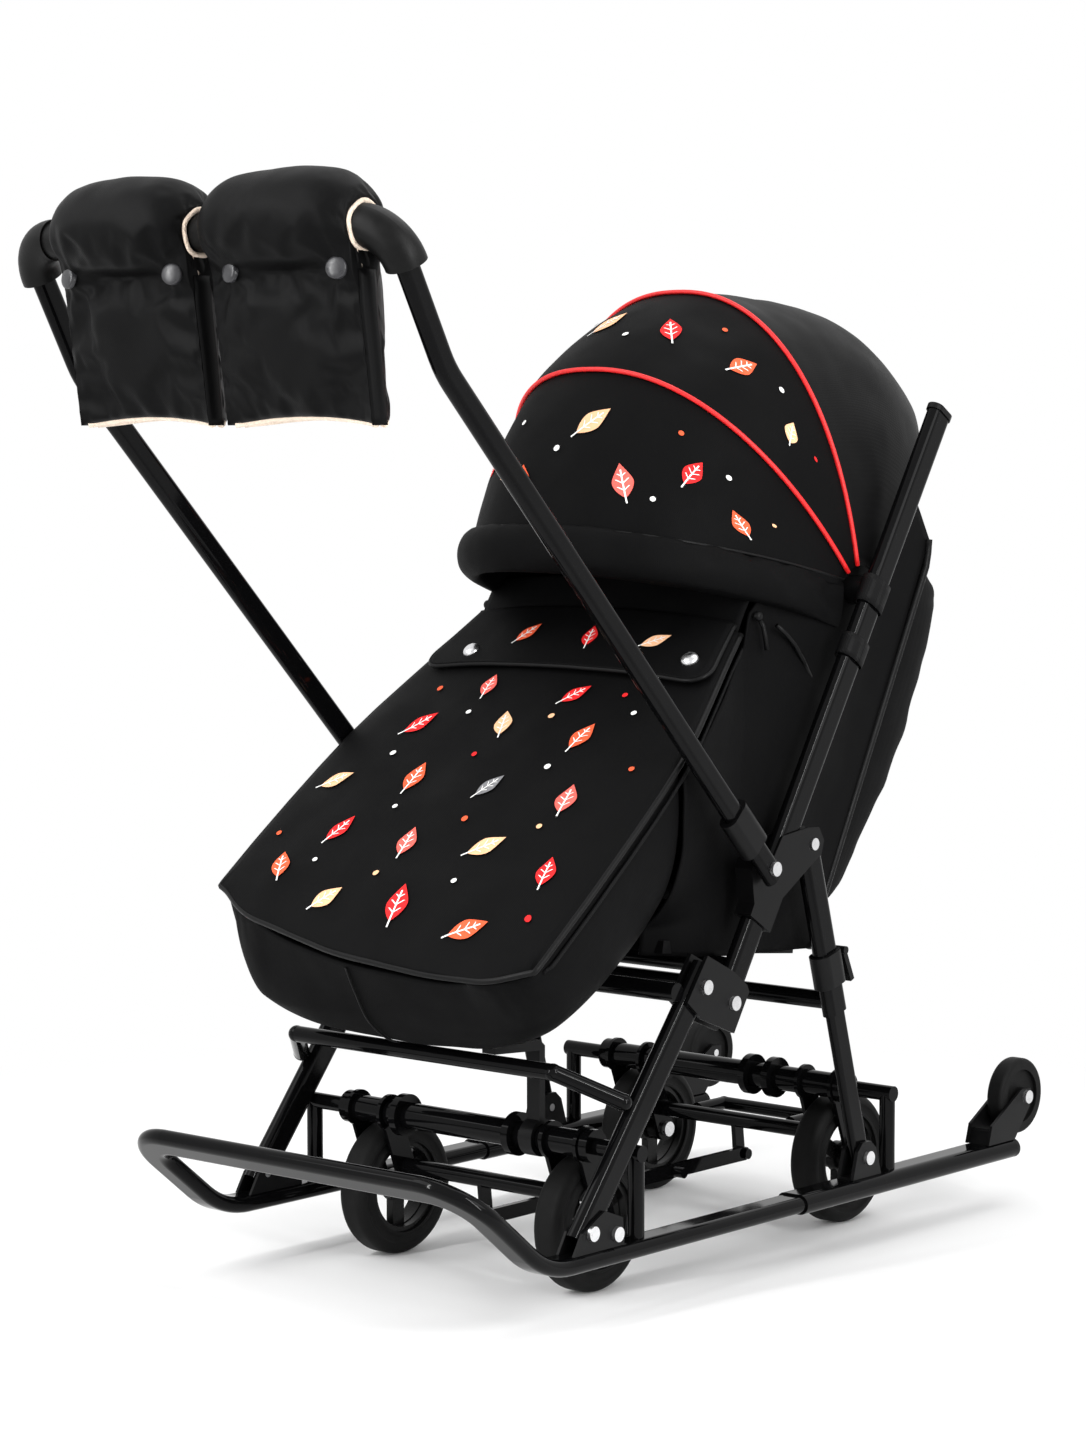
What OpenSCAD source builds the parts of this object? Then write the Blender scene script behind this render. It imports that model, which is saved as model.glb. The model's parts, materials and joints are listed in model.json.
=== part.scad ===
// Sled stroller: bent-tube runners, wheels that swing down, a hooded seat with a leg cover,
// and a handle that flips over
// Millimetres, Z up, the front faces -Y; points in pairs are [Y, Z] from the middle of the wheelbase

/* [Wheels] */
// Diameter of a road wheel
wheel_d = 135; // [131:1:139]
// Width of a tyre
tyre_w = 32; // [28:1:34]
// Distance between the front and rear wheel axles
wheel_base = 404; // [398:1:410]
// Distance from the middle plane to the middle of a wheel
half_track = 126; // [123:1:128]
// How far a wheel axle lies below its swing pivot
swing_drop = 80; // [78:1:82]
// How far a wheel axle lies behind its swing pivot
swing_trail = 30; // [27:1:32]
// Diameter of a tilting wheel at the rear end of a runner
tilt_wheel_d = 80; // [74:1:82]

/* [Runners] */
// Distance from the middle plane to the middle of a runner
runner_x = 208; // [206:1:210]
// Width of the front runner tube
runner_w = 34; // [32:1:34]
// Height of the front runner tube
runner_t = 16; // [14:1:16]
// Height of the middle of the runner tubes above the ground
runner_z = 60; // [59:1:62]
// Where the runner bends up at the front
bow_start_y = -337; // [-342:1:-336]
// Angle of the front bow
bow_angle = 39; // [32:1:40]
// Length of the straight part of the front bow
bow_run = 60; // [50:1:70]
// Where a runner ends at the rear
runner_end_y = 385; // [382:1:388]

/* [Legs and posts] */
// Wide side of a leg or post tube
leg_w = 30; // [28:1:30]
// Thin side of a leg or post tube
leg_t = 15; // [14:1:15]
// Lean of the side posts from the floor
post_lean = 57.8; // [57.6:0.1:58]
// Length of a side post above its fold pivot
post_len = 661; // [650:1:668]
// Diameter of the pivot bolts
bolt_d = 8; // [7:0.5:8]

/* [Handle] */
// Length of the straight part of a handle arm
arm_len = 657; // [652:1:664]
// Lean of a handle arm from the floor
arm_lean = 134.4; // [134:0.1:135.4]
// Diameter of the foam grip
grip_d = 34; // [30:1:34]
// Depth of a hand muff from front to back at the grip
muff_d = 96; // [90:1:100]
// Height of a hand muff below the grip
muff_drop = 168; // [160:1:172]

/* [Seat and hood] */
// Outer radius of the rear hood section
hood_r = 308; // [304:1:310]
// Half of the outer width of the rear hood section
hood_a = 192; // [191:1:193]
// Wall of a hood section
hood_wall = 3; // [2:0.5:3]
// Half of the width of the seat
seat_half = 165; // [155:1:165]
// Height of the crown of the leg cover
cover_crown = 16; // [10:1:20]
// Depth of the back pocket
pocket_depth = 102; // [90:1:106]

/* [Hidden] */
$fn = 48;
gap = 0.4;
fit = 0.05;
tube_wall = 2;
seam = 0.02;

// Colours of the parts
steel_black = [0.06, 0.06, 0.065];
plastic_black = [0.1, 0.1, 0.105];
rubber_black = [0.08, 0.08, 0.08];
bright = [0.75, 0.75, 0.77];
cloth_black = [0.13, 0.13, 0.135];
cloth_grey = [0.3, 0.3, 0.31];

// Wheel and swing points
hub_z = wheel_d / 2;
pivot_z = hub_z + swing_drop;
hub_y = [-wheel_base / 2, wheel_base / 2];
pivot_y = [hub_y[0] - swing_trail, hub_y[1] - swing_trail];
bridge_d = 16;
swing_d = 26;
swing_half = 160;
plate_t = 4;
plate_w = 26;
axle_d = 10;
spokes = 3;
spoke_w = 16;
rim_lip = 6;
rim_hub_d = 32;
plate_in = half_track - tyre_w / 2 - 3 - plate_t;
plate_out = half_track + tyre_w / 2 + 3;
lower_d = 16;
lower_y = -9;
lower_z = 24;
link_y = -5;
link_z = -12;
link_h = 14;
link_x = [3, 9];

// The frame stands clear of the seat, and the hood spans it
seat_to_post = 43;
seat_to_hood = 27;
post_to_arm = 20;
post_x = max(runner_x, seat_half + seat_to_post);
hood_half = max(hood_a, seat_half + seat_to_hood);

// Runner points
rear_w = runner_w + 4;
rear_t = runner_t + 4;
rear_top = runner_z + rear_t / 2;
front_top = runner_z + runner_t / 2;
runner_split_y = 12;
bow_r = 90;
bow_corner = 45;
bow_bend_end = [bow_start_y - bow_r * sin(bow_angle), runner_z + bow_r * (1 - cos(bow_angle))];
bow_run_end = bow_bend_end + bow_run * [-cos(bow_angle), sin(bow_angle)];
tilt_at = [406, rear_top + tilt_wheel_d / 2 + 3];

// Leg, post and hinge points
leg_foot = [-317, front_top + 9];
leg_top = [-131, 310];
leg_dir = (leg_top - leg_foot) / norm(leg_top - leg_foot);
leg_front = [-leg_dir[1], leg_dir[0]];
fold_at = [-100, 274];
post_dir = [cos(post_lean), sin(post_lean)];
post_front = [-sin(post_lean), cos(post_lean)];
hinge_s = 129.5;
hinge_n = 30.7;
handle_at = post_point(hinge_s, hinge_n);
rear_leg_top = post_point(189, -35.7);
rear_leg_foot = [124, rear_top + 20];
rear_leg_dir = (rear_leg_foot - rear_leg_top) / norm(rear_leg_foot - rear_leg_top);
crossbar_d = 18;
leg_bar_drop = 42;
cheek_out = 10;

// Handle points
arm_x = post_x + post_to_arm;
arm_w = 24;
arm_t = 14;
arm_dir = [cos(arm_lean), sin(arm_lean)];
arm_bend = 15.9;
arm_bend_r = 100;
arm_upper = [cos(arm_lean - arm_bend), sin(arm_lean - arm_bend)];
arm_corner = handle_at + arm_len * arm_dir;
arm_cut = arm_bend_r * tan(arm_bend / 2);
arm_end = arm_corner + 100 * arm_upper;
elbow_r = 38;
elbow_d = 38;
bar_at = arm_end + elbow_r * arm_upper;
bar_half = arm_x - elbow_r;

// The origin lies under the middle of the whole length
front_reach = bar_at[0] - muff_d / 2;
rear_reach = tilt_at[0] + tilt_wheel_d / 2;
mid_y = -(front_reach + rear_reach) / 2;

// Hood points, angles measured up from the front
hood_at = [142, 659];
hood_power = 2.3;
hood_step = 10;
hood_side_step = hood_wall + 1;
visor_from = 6.5;
mid_from = 48.6;
rear_from = 79.4;
rear_to = 136;
boss_d = 30;

// Seat, muff and hinge points
seat_tube_at = post_point(36.5, 0);
side_in = seat_half + 11;
back_half = side_in - 0.4;
rest_pivot = [82, 330];
board_pivot = [-156, 337.8];
muff_half = 87;
muff_x = [102, -86];

// Leg cover and foot bag points
cover_foot = [-397, 328.5];
cover_dir = [0.790, 0.613];
cover_up = [-0.613, 0.790];

// A point beside a post, s along it from the fold pivot and n towards the front
function post_point(s, n) = fold_at + s * post_dir + n * post_front;
// Points beside a post for an outline
function post_points(list) = [for (p = list) post_point(p[0], p[1])];
// A point of the leg cover, s up its slope and h above it
function cover_point(s, h) = cover_foot + s * cover_dir + h * cover_up;
// Value of a stepped table of [input, output] pairs between its rows
function between(table, v) = lookup(v, table);
// Signed power, for rounded outlines
function spow(v, e) = sign(v) * pow(abs(v), e);

// Places a piece in the frame of the whole object
module stand() translate([0, mid_y, 0]) children();
// A piece and its mirror image
module both() {
  children();
  mirror([1, 0, 0]) children();
}
// Outline of a flat-oval tube, a along its first axis and b along its second
module oval(a, b) {
  d = min(a, b);
  square(a < b ? [a, b - d] : [a - d, b], center = true);
  for (k = [-1, 1])
    translate(k * [(a - d) / 2, (b - d) / 2]) circle(d = d);
}
// Outline of the wall of a flat-oval tube
module oval_wall(a, b, wall = tube_wall) {
  difference() {
    oval(a, b);
    oval(a - 2 * wall, b - 2 * wall);
  }
}
// A straight length from p to q at x, of an outline with its first axis across the object
module run(p, q, x) {
  d = q - p;
  translate([x, p[0], p[1]]) rotate([atan2(-d[0], d[1]), 0, 0]) linear_extrude(norm(d)) children();
}
// A rod across the object at p
module rod(p, x0, x1, d) {
  translate([x0, p[0], p[1]]) rotate([0, 90, 0]) cylinder(d = d, h = x1 - x0);
}
// A plate of an outline in [Y, Z], from x0 to x1
module plate(x0, x1) {
  translate([x0, 0, 0]) rotate([90, 0, 90]) linear_extrude(x1 - x0) children();
}
// Turns an outline about an axis across the object at p, from angle a for the angle turn
module turn(p, x, a, turn_angle) {
  translate([x, p[0], p[1]]) rotate([90, 0, 90]) rotate([0, 0, a]) rotate_extrude(angle = turn_angle, $fn = 96)
    children();
}
// A bolt across the object, with a head on its outer end
module bolt(p, x0, x1, d = bolt_d, head = 14, head_t = 4) {
  rod(p, x0, x1, d);
  rod(p, x1, x1 + head_t, head);
}
// A closed solid between two grids of points, the first one outside
module grid_solid(outer, inner) {
  n = len(outer);
  m = len(outer[0]);
  half = n * m;
  points = concat([for (r = outer) each r], [for (r = inner) each r]);
  top = [for (i = [0 : n - 2], j = [0 : m - 2])
    let (a = i * m + j, b = a + m, c = b + 1, d = a + 1) each [[a, c, b], [a, d, c]]];
  low = [for (f = top) [f[0] + half, f[2] + half, f[1] + half]];
  rim = concat(
    [for (j = [0 : m - 2]) [j + 1, j]],
    [for (i = [0 : n - 2]) [i * m, (i + 1) * m]],
    [for (j = [0 : m - 2]) [(n - 1) * m + j, (n - 1) * m + j + 1]],
    [for (i = [0 : n - 2]) [(i + 1) * m + m - 1, i * m + m - 1]]);
  walls = [for (e = rim) each [[e[0], e[1], e[1] + half], [e[0], e[1] + half, e[0] + half]]];
  polyhedron(points, concat(top, low, walls), convexity = 8);
}

// Front bow: both runner fronts and the bar across, bent from one tube,
// and drawn in its straight and bent lengths
module front_bow() color(steel_black) stand() {
  ahead = [-cos(bow_angle), sin(bow_angle)];
  both() {
    run([bow_start_y + seam, runner_z], [runner_split_y + 40, runner_z], post_x)
      oval_wall(runner_w, runner_t);
    turn([bow_start_y, runner_z + bow_r], post_x, -90 - bow_angle, bow_angle)
      translate([bow_r, 0]) oval_wall(runner_t, runner_w);
    run(bow_bend_end + seam * ahead, bow_run_end - seam * ahead, post_x) oval_wall(runner_w, runner_t);
    translate([0, bow_run_end[0], bow_run_end[1]]) rotate([180 - bow_angle, 0, 0])
      translate([post_x - bow_corner, 0, 0]) rotate_extrude(angle = 90, $fn = 96)
        translate([bow_corner, 0]) oval_wall(runner_w, runner_t);
  }
  bar_half_len = post_x - bow_corner - seam;
  translate([-bar_half_len, bow_run_end[0], bow_run_end[1]]) rotate([180 - bow_angle, 0, 0])
    translate([0, bow_corner, 0]) rotate([0, 90, 0]) linear_extrude(2 * bar_half_len)
      oval_wall(runner_t, runner_w);
}

// Rear runner tubes, each sleeved over an end of the front bow
module runners() color(steel_black) stand() both()
  run([runner_split_y, runner_z], [runner_end_y, runner_z], post_x)
    oval_wall(rear_w, rear_t, 2 - gap / 2);

// Plugs in the rear ends of the runners
module runner_end_caps() color(plastic_black) stand() both() {
  run([runner_end_y + 0.1, runner_z], [runner_end_y + 5, runner_z], post_x) oval(rear_w, rear_t);
  run([runner_end_y - 12, runner_z], [runner_end_y + 1, runner_z], post_x)
    oval(rear_w - 5, rear_t - 5);
}

// Front legs with the crossbar on their front faces
module front_legs() color(steel_black) stand() {
  both() difference() {
    run(leg_foot, leg_top, post_x) oval_wall(leg_t, leg_w);
    rod(leg_foot + 12 * leg_dir, post_x - 20, post_x + 20, bolt_d + 2 * fit);
    rod(leg_top - 20 * leg_dir, post_x - 20, post_x + 20, bolt_d + 2 * fit);
  }
  rod(leg_top - leg_bar_drop * leg_dir + (leg_w / 2 + crossbar_d / 2 + 0.1) * leg_front,
      -post_x - 4, post_x + 4, crossbar_d);
}

// Brackets on the runners: leg feet, rear leg feet and tilting wheels
module runner_brackets() color(plastic_black) stand() both() {
  leg_foot_bracket();
  rear_foot_bracket();
  tilt_bracket();
}
module leg_foot_bracket() {
  side = leg_t / 2 + gap;
  difference() {
    for (x = [post_x - side - 3, post_x + side])
      plate(x, x + 3) polygon([[-334, front_top + 0.1], [-262, front_top + 0.1], [-264, front_top + 26],
        [-290, front_top + 36], [-322, front_top + 20]]);
    foot_bolts(bolt_d + 2 * fit);
  }
  difference() {
    plate(post_x - side - 1, post_x + side + 1) polygon([[-286, front_top + 0.1], [-264, front_top + 0.1],
      [-266, front_top + 22], [-276, front_top + 26]]);
    foot_bolts(bolt_d + 2 * fit);
  }
}
module foot_bolts(d) {
  rod(leg_foot + 12 * leg_dir, post_x - 30, post_x + 30, d);
  rod([-274, front_top + 12], post_x - 30, post_x + 30, d);
}
module rear_foot_bracket() {
  y = rear_leg_foot[0];
  for (k = [-1, 1])
    translate([k * 8.2, 0, 0]) difference() {
      plate(post_x - 2, post_x + 2) polygon([[y - 24, rear_top + 0.1], [y + 24, rear_top + 0.1],
        [y + 15, rear_top + 28], [y + 6, rear_top + 36], [y - 8, rear_top + 36], [y - 16, rear_top + 28]]);
      rod(rear_leg_foot, post_x - 20, post_x + 20, bolt_d + 2 * fit);
    }
  plate(post_x - 7, post_x + 7) polygon([[y - 24, rear_top + 0.1], [y + 24, rear_top + 0.1],
    [y + 24, rear_top + 2], [y - 24, rear_top + 2]]);
}
module tilt_bracket() {
  for (k = [-1, 1])
    translate([k * 13.5, 0, 0]) difference() {
      plate(post_x - 1.5, post_x + 1.5) polygon([[336, rear_top + 0.1], [runner_end_y, rear_top + 0.1],
        [tilt_at[0] + 8, tilt_at[1] - 10], [tilt_at[0] + 9, tilt_at[1] + 8], [tilt_at[0] - 8, tilt_at[1] + 9],
        [342, rear_top + 20]]);
      rod(tilt_at, post_x - 30, post_x + 30, bolt_d + 2 * fit);
    }
  plate(post_x - 13, post_x + 13) polygon([[337, rear_top + 0.1], [356, rear_top + 0.1],
    [353, rear_top + 14], [343, rear_top + 14]]);
}

// Footrest bar bent round the front, held by the front legs
module footrest_bar() color(steel_black) stand() {
  d = 16;
  front = [-301, 228];
  side = leg_foot + 136 * leg_dir + (leg_w / 2 + d / 2 + 0.6) * leg_front;
  half = 165;
  rod(front, -half, half, d);
  both() {
    reach = [post_x - half, side[0] - front[0], side[1] - front[1]];
    translate([half, front[0], front[1]]) sphere(d = d + 0.8);
    translate([half, front[0], front[1]])
      rotate([0, acos(reach[2] / norm(reach)), atan2(reach[1], reach[0])]) cylinder(d = d, h = norm(reach));
    translate([post_x, side[0], side[1]]) sphere(d = d + 0.8);
  }
}

// Strut from the footrest bar to a ring round the front swing tube
module footrest_strut() color(plastic_black) stand() {
  x = [78, 94];
  ring = [pivot_y[0], pivot_z];
  difference() {
    union() {
      rod(ring, x[0], x[1], swing_d + 10);
      plate(x[0], x[1]) polygon([[ring[0] - 5, ring[1] + 10], [ring[0] + 3, ring[1] + 10], [ring[0] + 3, 236],
        [ring[0] - 4, 242], [-301, 242], [-301, 236.3], [ring[0] - 5, 232]]);
    }
    rod(ring, x[0] - 1, x[1] + 1, swing_d + 2 * gap);
  }
}

// Axle bridges: a post on each runner and a thin tube between them
module axle_bridge(y, foot) {
  rod([y, pivot_z], -post_x - 8, post_x + 8, bridge_d);
  both() translate([post_x, y, foot]) cylinder(d = bridge_d, h = pivot_z - foot);
}
module front_axle_bridge() color(steel_black) stand() axle_bridge(pivot_y[0], front_top + 0.1);
module rear_axle_bridge() color(steel_black) stand() axle_bridge(pivot_y[1], rear_top + 0.1);

// Brackets that hold the leg tops and carry the fold pivots of the posts
module fold_brackets() color(plastic_black) stand() both() difference() {
  side = leg_t / 2 + gap;
  union() {
    for (x = [post_x - side - 4, post_x + side])
      plate(x, x + 4)
        polygon(post_points([[-24, -17], [20, -17], [24, -11], [26, 14], [21, 60], [-30, 64], [-34, 36]]));
    plate(post_x - side - 1, post_x + side + 1)
      polygon(post_points([[5, 15.6], [24, 15.6], [22, 28], [5, 30]]));
  }
  fold_holes(bolt_d + 2 * fit);
}
module fold_holes(d) {
  rod(fold_at, post_x - 30, post_x + 30, d);
  rod(leg_top - 20 * leg_dir, post_x - 30, post_x + 30, d);
}

// Bolts and pins of the base
module frame_bolts() color(bright) stand() both() {
  side = leg_t / 2 + gap;
  for (p = [leg_foot + 12 * leg_dir, [-274, front_top + 12]])
    bolt(p, post_x - side - 3, post_x + side + 3.2);
  for (p = [fold_at, leg_top - 20 * leg_dir])
    bolt(p, post_x - side - 4, post_x + side + 4.2);
  bolt(rear_leg_foot, post_x - 10.2, post_x + 10.4);
  bolt(tilt_at, post_x - 15, post_x + 15.2);
}

// Swing tubes with their stop rings
module swing_tube(i, rings) {
  at = [pivot_y[i], pivot_z];
  difference() {
    union() {
      rod(at, -swing_half, swing_half, swing_d);
      for (x = rings) rod(at, x - 4, x + 4, swing_d + 16);
      for (x = [-swing_half, swing_half - 10]) rod(at, x, x + 10, swing_d + 6);
    }
    rod(at, -swing_half - 1, swing_half + 1, bridge_d + 2 * fit);
  }
}
module front_swing_tube() color(steel_black) stand() swing_tube(0, [-84, 62]);
module rear_swing_tube() color(steel_black) stand() swing_tube(1, [-84, 36, 66]);

// Fork plates, a pair to each wheel
module fork_plates(i) {
  pivot = [pivot_y[i], pivot_z];
  hub = [hub_y[i], hub_z];
  both() for (x = [plate_in, plate_out])
    difference() {
      union() {
        plate(x, x + plate_t) polygon(bar_outline(pivot, hub, plate_w));
        rod(pivot, x, x + plate_t, swing_d + 10);
        rod(hub, x, x + plate_t, plate_w);
      }
      rod(pivot, x - 1, x + plate_t + 1, swing_d + 0.2);
      rod(hub, x - 1, x + plate_t + 1, axle_d + 2 * fit);
    }
}
function bar_outline(p, q, w) = let (d = (q - p) / norm(q - p), n = [-d[1], d[0]] * w / 2)
  [p + n, p - n, q - n, q + n];
module front_fork_plates() color(steel_black) stand() fork_plates(0);
module rear_fork_plates() color(steel_black) stand() fork_plates(1);

// Lower bars between the inner fork plates, each with the lug of the link rod
module lower_bar(i) {
  at = [hub_y[i] + lower_y, hub_z + lower_z];
  link = [hub_y[i] + link_y, hub_z + link_z];
  rod(at, -plate_in + 0.1, plate_in - 0.1, lower_d);
  difference() {
    union() {
      plate(link_x[0] - 6, link_x[0] - 0.5) polygon(bar_outline(at, link, link_h));
      rod(link, link_x[0] - 6, link_x[0] - 0.5, link_h);
    }
    rod(link, link_x[0] - 7, link_x[0] + 1, 6 + 2 * fit);
  }
}
module front_lower_bar() color(steel_black) stand() lower_bar(0);
module rear_lower_bar() color(steel_black) stand() lower_bar(1);

// Axle pins with bolt heads
module axle_pins(i) {
  hub = [hub_y[i], hub_z];
  both() {
    bolt(hub, plate_in - 0.2, plate_out + plate_t + 0.2, axle_d, 18, 5);
    rod(hub, plate_in - 5, plate_in - 0.1, 16);
  }
}
module front_axle_pins() color(bright) stand() axle_pins(0);
module rear_axle_pins() color(bright) stand() axle_pins(1);

// Foot pedal bar behind the rear lower bar
module foot_pedal_bar() color(steel_black) stand() {
  d = 14;
  at = [hub_y[1] + lower_y, hub_z + lower_z];
  start = at + [lower_d / 2 + 0.1, 2];
  end = [hub_y[1] + 49, hub_z + 26];
  half = 62;
  rod(end, -half, half, d);
  both() {
    translate([half, end[0], end[1]]) sphere(d = d + 0.8);
    run(start + [3, 0], end, half) circle(d = d);
    rod(start + [3, 0], half - 9, half + 9, 6);
  }
}

// Link rod between the two swing frames, with its pins and a bright spacer
module link_rod() color(steel_black) stand() {
  front = [hub_y[0] + link_y, hub_z + link_z];
  rear = [hub_y[1] + link_y, hub_z + link_z];
  plate(link_x[0], link_x[1]) polygon(bar_outline(front, rear, link_h));
  for (p = [front, rear]) {
    rod(p, link_x[0], link_x[1], link_h);
    rod(p, link_x[0] - 8, link_x[1], 6);
    rod(p, link_x[1] - 0.1, link_x[1] + 4, 11);
  }
  rod((front + rear) / 2 + [80, 0], link_x[1] - 0.1, link_x[1] + 14, 11);
}

// Tyres and rims
module tyre(side, i) {
  edge = 9;
  r = wheel_d / 2;
  ledge = r - 22;
  translate([side * half_track, hub_y[i], hub_z]) rotate([0, 90, 0]) rotate_extrude($fn = 96)
    difference() {
      union() {
        translate([ledge, -tyre_w / 2]) square([r - ledge - edge, tyre_w]);
        translate([r - edge - 0.01, -tyre_w / 2 + edge]) square([edge + 0.01, tyre_w - 2 * edge]);
        for (k = [-1, 1]) translate([r - edge, k * (tyre_w / 2 - edge)]) circle(r = edge);
      }
      for (k = [-1, 1]) translate([ledge + 7, k * (tyre_w / 2 + 5)]) circle(r = 7);
    }
}
module rim(side, i) {
  r = wheel_d / 2 - 22 - 0.1;
  hub_half = plate_out - half_track - 0.8;
  translate([side * half_track, hub_y[i], hub_z]) rotate([0, 90, 0]) difference() {
    union() {
      difference() {
        cylinder(r = r, h = tyre_w - 6, center = true, $fn = 96);
        cylinder(r = r - 5, h = tyre_w, center = true, $fn = 96);
      }
      cylinder(r = r - 1, h = 9, center = true);
      cylinder(d = 26, h = 2 * hub_half, center = true);
    }
    cylinder(d = axle_d + 2 * fit, h = 3 * hub_half, center = true);
    difference() {
      cylinder(r = r - rim_lip, h = tyre_w, center = true, $fn = 96);
      cylinder(d = rim_hub_d, h = 2 * tyre_w, center = true);
      for (k = [1 : spokes]) rotate([0, 0, 360 / spokes * k]) translate([0, -spoke_w / 2, -tyre_w])
        cube([r, spoke_w, 2 * tyre_w]);
    }
  }
}
module tyre_front_right() color(rubber_black) stand() tyre(1, 0);
module tyre_front_left() color(rubber_black) stand() tyre(-1, 0);
module tyre_rear_right() color(rubber_black) stand() tyre(1, 1);
module tyre_rear_left() color(rubber_black) stand() tyre(-1, 1);
module rim_front_right() color(plastic_black) stand() rim(1, 0);
module rim_front_left() color(plastic_black) stand() rim(-1, 0);
module rim_rear_right() color(plastic_black) stand() rim(1, 1);
module rim_rear_left() color(plastic_black) stand() rim(-1, 1);

// Tilting wheels at the rear ends of the runners
module tilt_wheel(side) {
  w = 20;
  r = tilt_wheel_d / 2;
  translate([side * post_x, tilt_at[0], tilt_at[1]]) rotate([0, 90, 0]) difference() {
    union() {
      rotate_extrude($fn = 96) {
        translate([0, -w / 2]) square([r - 5, w]);
        translate([r - 5.01, -w / 2 + 5]) square([5.01, w - 10]);
        for (k = [-1, 1]) translate([r - 5, k * (w / 2 - 5)]) circle(r = 5);
      }
      cylinder(d = 18, h = 23.2, center = true);
    }
    cylinder(d = bolt_d + 2 * fit, h = 40, center = true);
    for (k = [-1, 1]) translate([0, 0, k * (w / 2)]) difference() {
      cylinder(r = r - 12, h = 8, center = true);
      cylinder(d = 18, h = 10, center = true);
    }
  }
}
module tilt_wheel_right() color(rubber_black) stand() tilt_wheel(1);
module tilt_wheel_left() color(rubber_black) stand() tilt_wheel(-1);

// Two-part rear legs: the lower part slides inside the upper one
module rear_legs_lower() color(steel_black) stand() both() difference() {
  run(rear_leg_foot + 10 * rear_leg_dir, rear_leg_top + 140 * rear_leg_dir, post_x)
    oval(leg_t - 2 * tube_wall - 1, leg_w - 2 * tube_wall - 1);
  rod(rear_leg_foot, post_x - 20, post_x + 20, bolt_d + 2 * fit);
}
module rear_legs_upper() color(steel_black) stand() both() difference() {
  run(rear_leg_top - 8 * rear_leg_dir, rear_leg_top + 180 * rear_leg_dir, post_x) oval_wall(leg_t, leg_w);
  rod(rear_leg_top, post_x - 20, post_x + 20, bolt_d + 11);
}
module rear_crossbar() color(steel_black) stand()
  rod(rear_leg_top + 168 * rear_leg_dir, -post_x + leg_t / 2 + 0.2, post_x - leg_t / 2 - 0.2, crossbar_d);

// Clamps on the rear legs and their levers
module leg_clamps() color(plastic_black) stand() both()
  run(rear_leg_top + 116 * rear_leg_dir, rear_leg_top + 150 * rear_leg_dir, post_x)
    difference() {
      oval(leg_t + 8, leg_w + 8);
      oval(leg_t + 0.3, leg_w + 0.3);
    }
module clamp_levers() color(plastic_black) stand() both() {
  rear = [-rear_leg_dir[1], rear_leg_dir[0]];
  start = rear_leg_top + 122 * rear_leg_dir + (leg_w / 2 + 8.2) * rear;
  end = start + 34 * rear_leg_dir + 5 * rear;
  plate(post_x - 7, post_x + 7) polygon(bar_outline(start, end, 6));
  rod(start, post_x - 9, post_x + 9, 8);
}

// Side posts with a bore for each fold pivot
module side_posts() color(steel_black) stand() both() difference() {
  run(post_point(-16, 0), post_point(post_len, 0), post_x) oval_wall(leg_t, leg_w);
  rod(fold_at, post_x - 20, post_x + 20, bolt_d + 2 * fit);
}
module post_caps() color(plastic_black) stand() both() {
  run(post_point(post_len + 0.1, 0), post_point(post_len + 6, 0), post_x) oval(leg_t + 3, leg_w + 3);
  run(post_point(post_len - 12, 0), post_point(post_len + 1, 0), post_x)
    oval(leg_t - 2 * tube_wall - 0.4, leg_w - 2 * tube_wall - 0.4);
}

// Blocks round the posts that carry the handle pivots and the tops of the rear legs
module hinge_blocks() color(plastic_black) stand() both() difference() {
  union() {
    plate(post_x - cheek_out, post_x + cheek_out) polygon(post_points([[84, -18.5], [143, -18.5], [146, 22],
      [142, 37], [133, 43], [122, 42], [114, 34], [96, 19], [84, 18.5]]));
    for (x = [post_x - cheek_out, post_x + leg_t / 2 + 0.7])
      plate(x, x + cheek_out - leg_t / 2 - 0.7) polygon(post_points([[120, -18], [146, 16], [172, 14], [198, -18],
        [207, -34], [200, -48], [186, -52], [172, -44]]));
  }
  run(post_point(60, 0), post_point(220, 0), post_x) oval(leg_t + 0.5, leg_w + 0.5);
  rod(handle_at, post_x - 30, post_x + 30, bolt_d + 2 * fit);
  rod(rear_leg_top, post_x - 30, post_x + 30, bolt_d + 2 * fit);
}
module upper_bolts() color(bright) stand() both() {
  bolt(handle_at, post_x - cheek_out - 1, arm_x + arm_t / 2 + 0.4);
  bolt(rear_leg_top, post_x - cheek_out - 1, post_x + cheek_out + 0.2, bolt_d, 12, 1.6);
}

// Pivots of the hood on the inner faces of the posts
module hood_pivots() color(plastic_black) stand() both()
  rod(hood_at, hood_half - 3 * hood_side_step - 2, post_x - leg_t / 2 - 0.2, boss_d);

// Seat
module seat_tube() color(steel_black) stand()
  rod(seat_tube_at, -post_x + leg_t / 2 + 0.2, post_x - leg_t / 2 - 0.2, crossbar_d);
module seat_base() color(plastic_black) stand()
  plate(-seat_half, seat_half) polygon([[-140, 320.65], [68, 298.15], [70, 310.15], [-138, 332.65]]);
module seat_pad() color(cloth_grey) stand() {
  rows = [for (v = [0 : 8]) v / 8];
  cols = [for (u = [0 : 10]) 1 - u / 5];
  crown = function (u, v) 4 + 26 * pow(1 - pow(abs(u), 4), 0.5) * pow(1 - pow(abs(2 * v - 1), 4), 0.5);
  grid_solid(
    [for (v = rows) [for (u = cols) [u * (seat_half - 7), -132 + 188 * v, 332.3 - 20.34 * v + crown(u, v)]]],
    [for (v = rows) [for (u = cols) [u * (seat_half - 7), -132 + 188 * v, 332.3 - 20.34 * v]]]);
}

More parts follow.
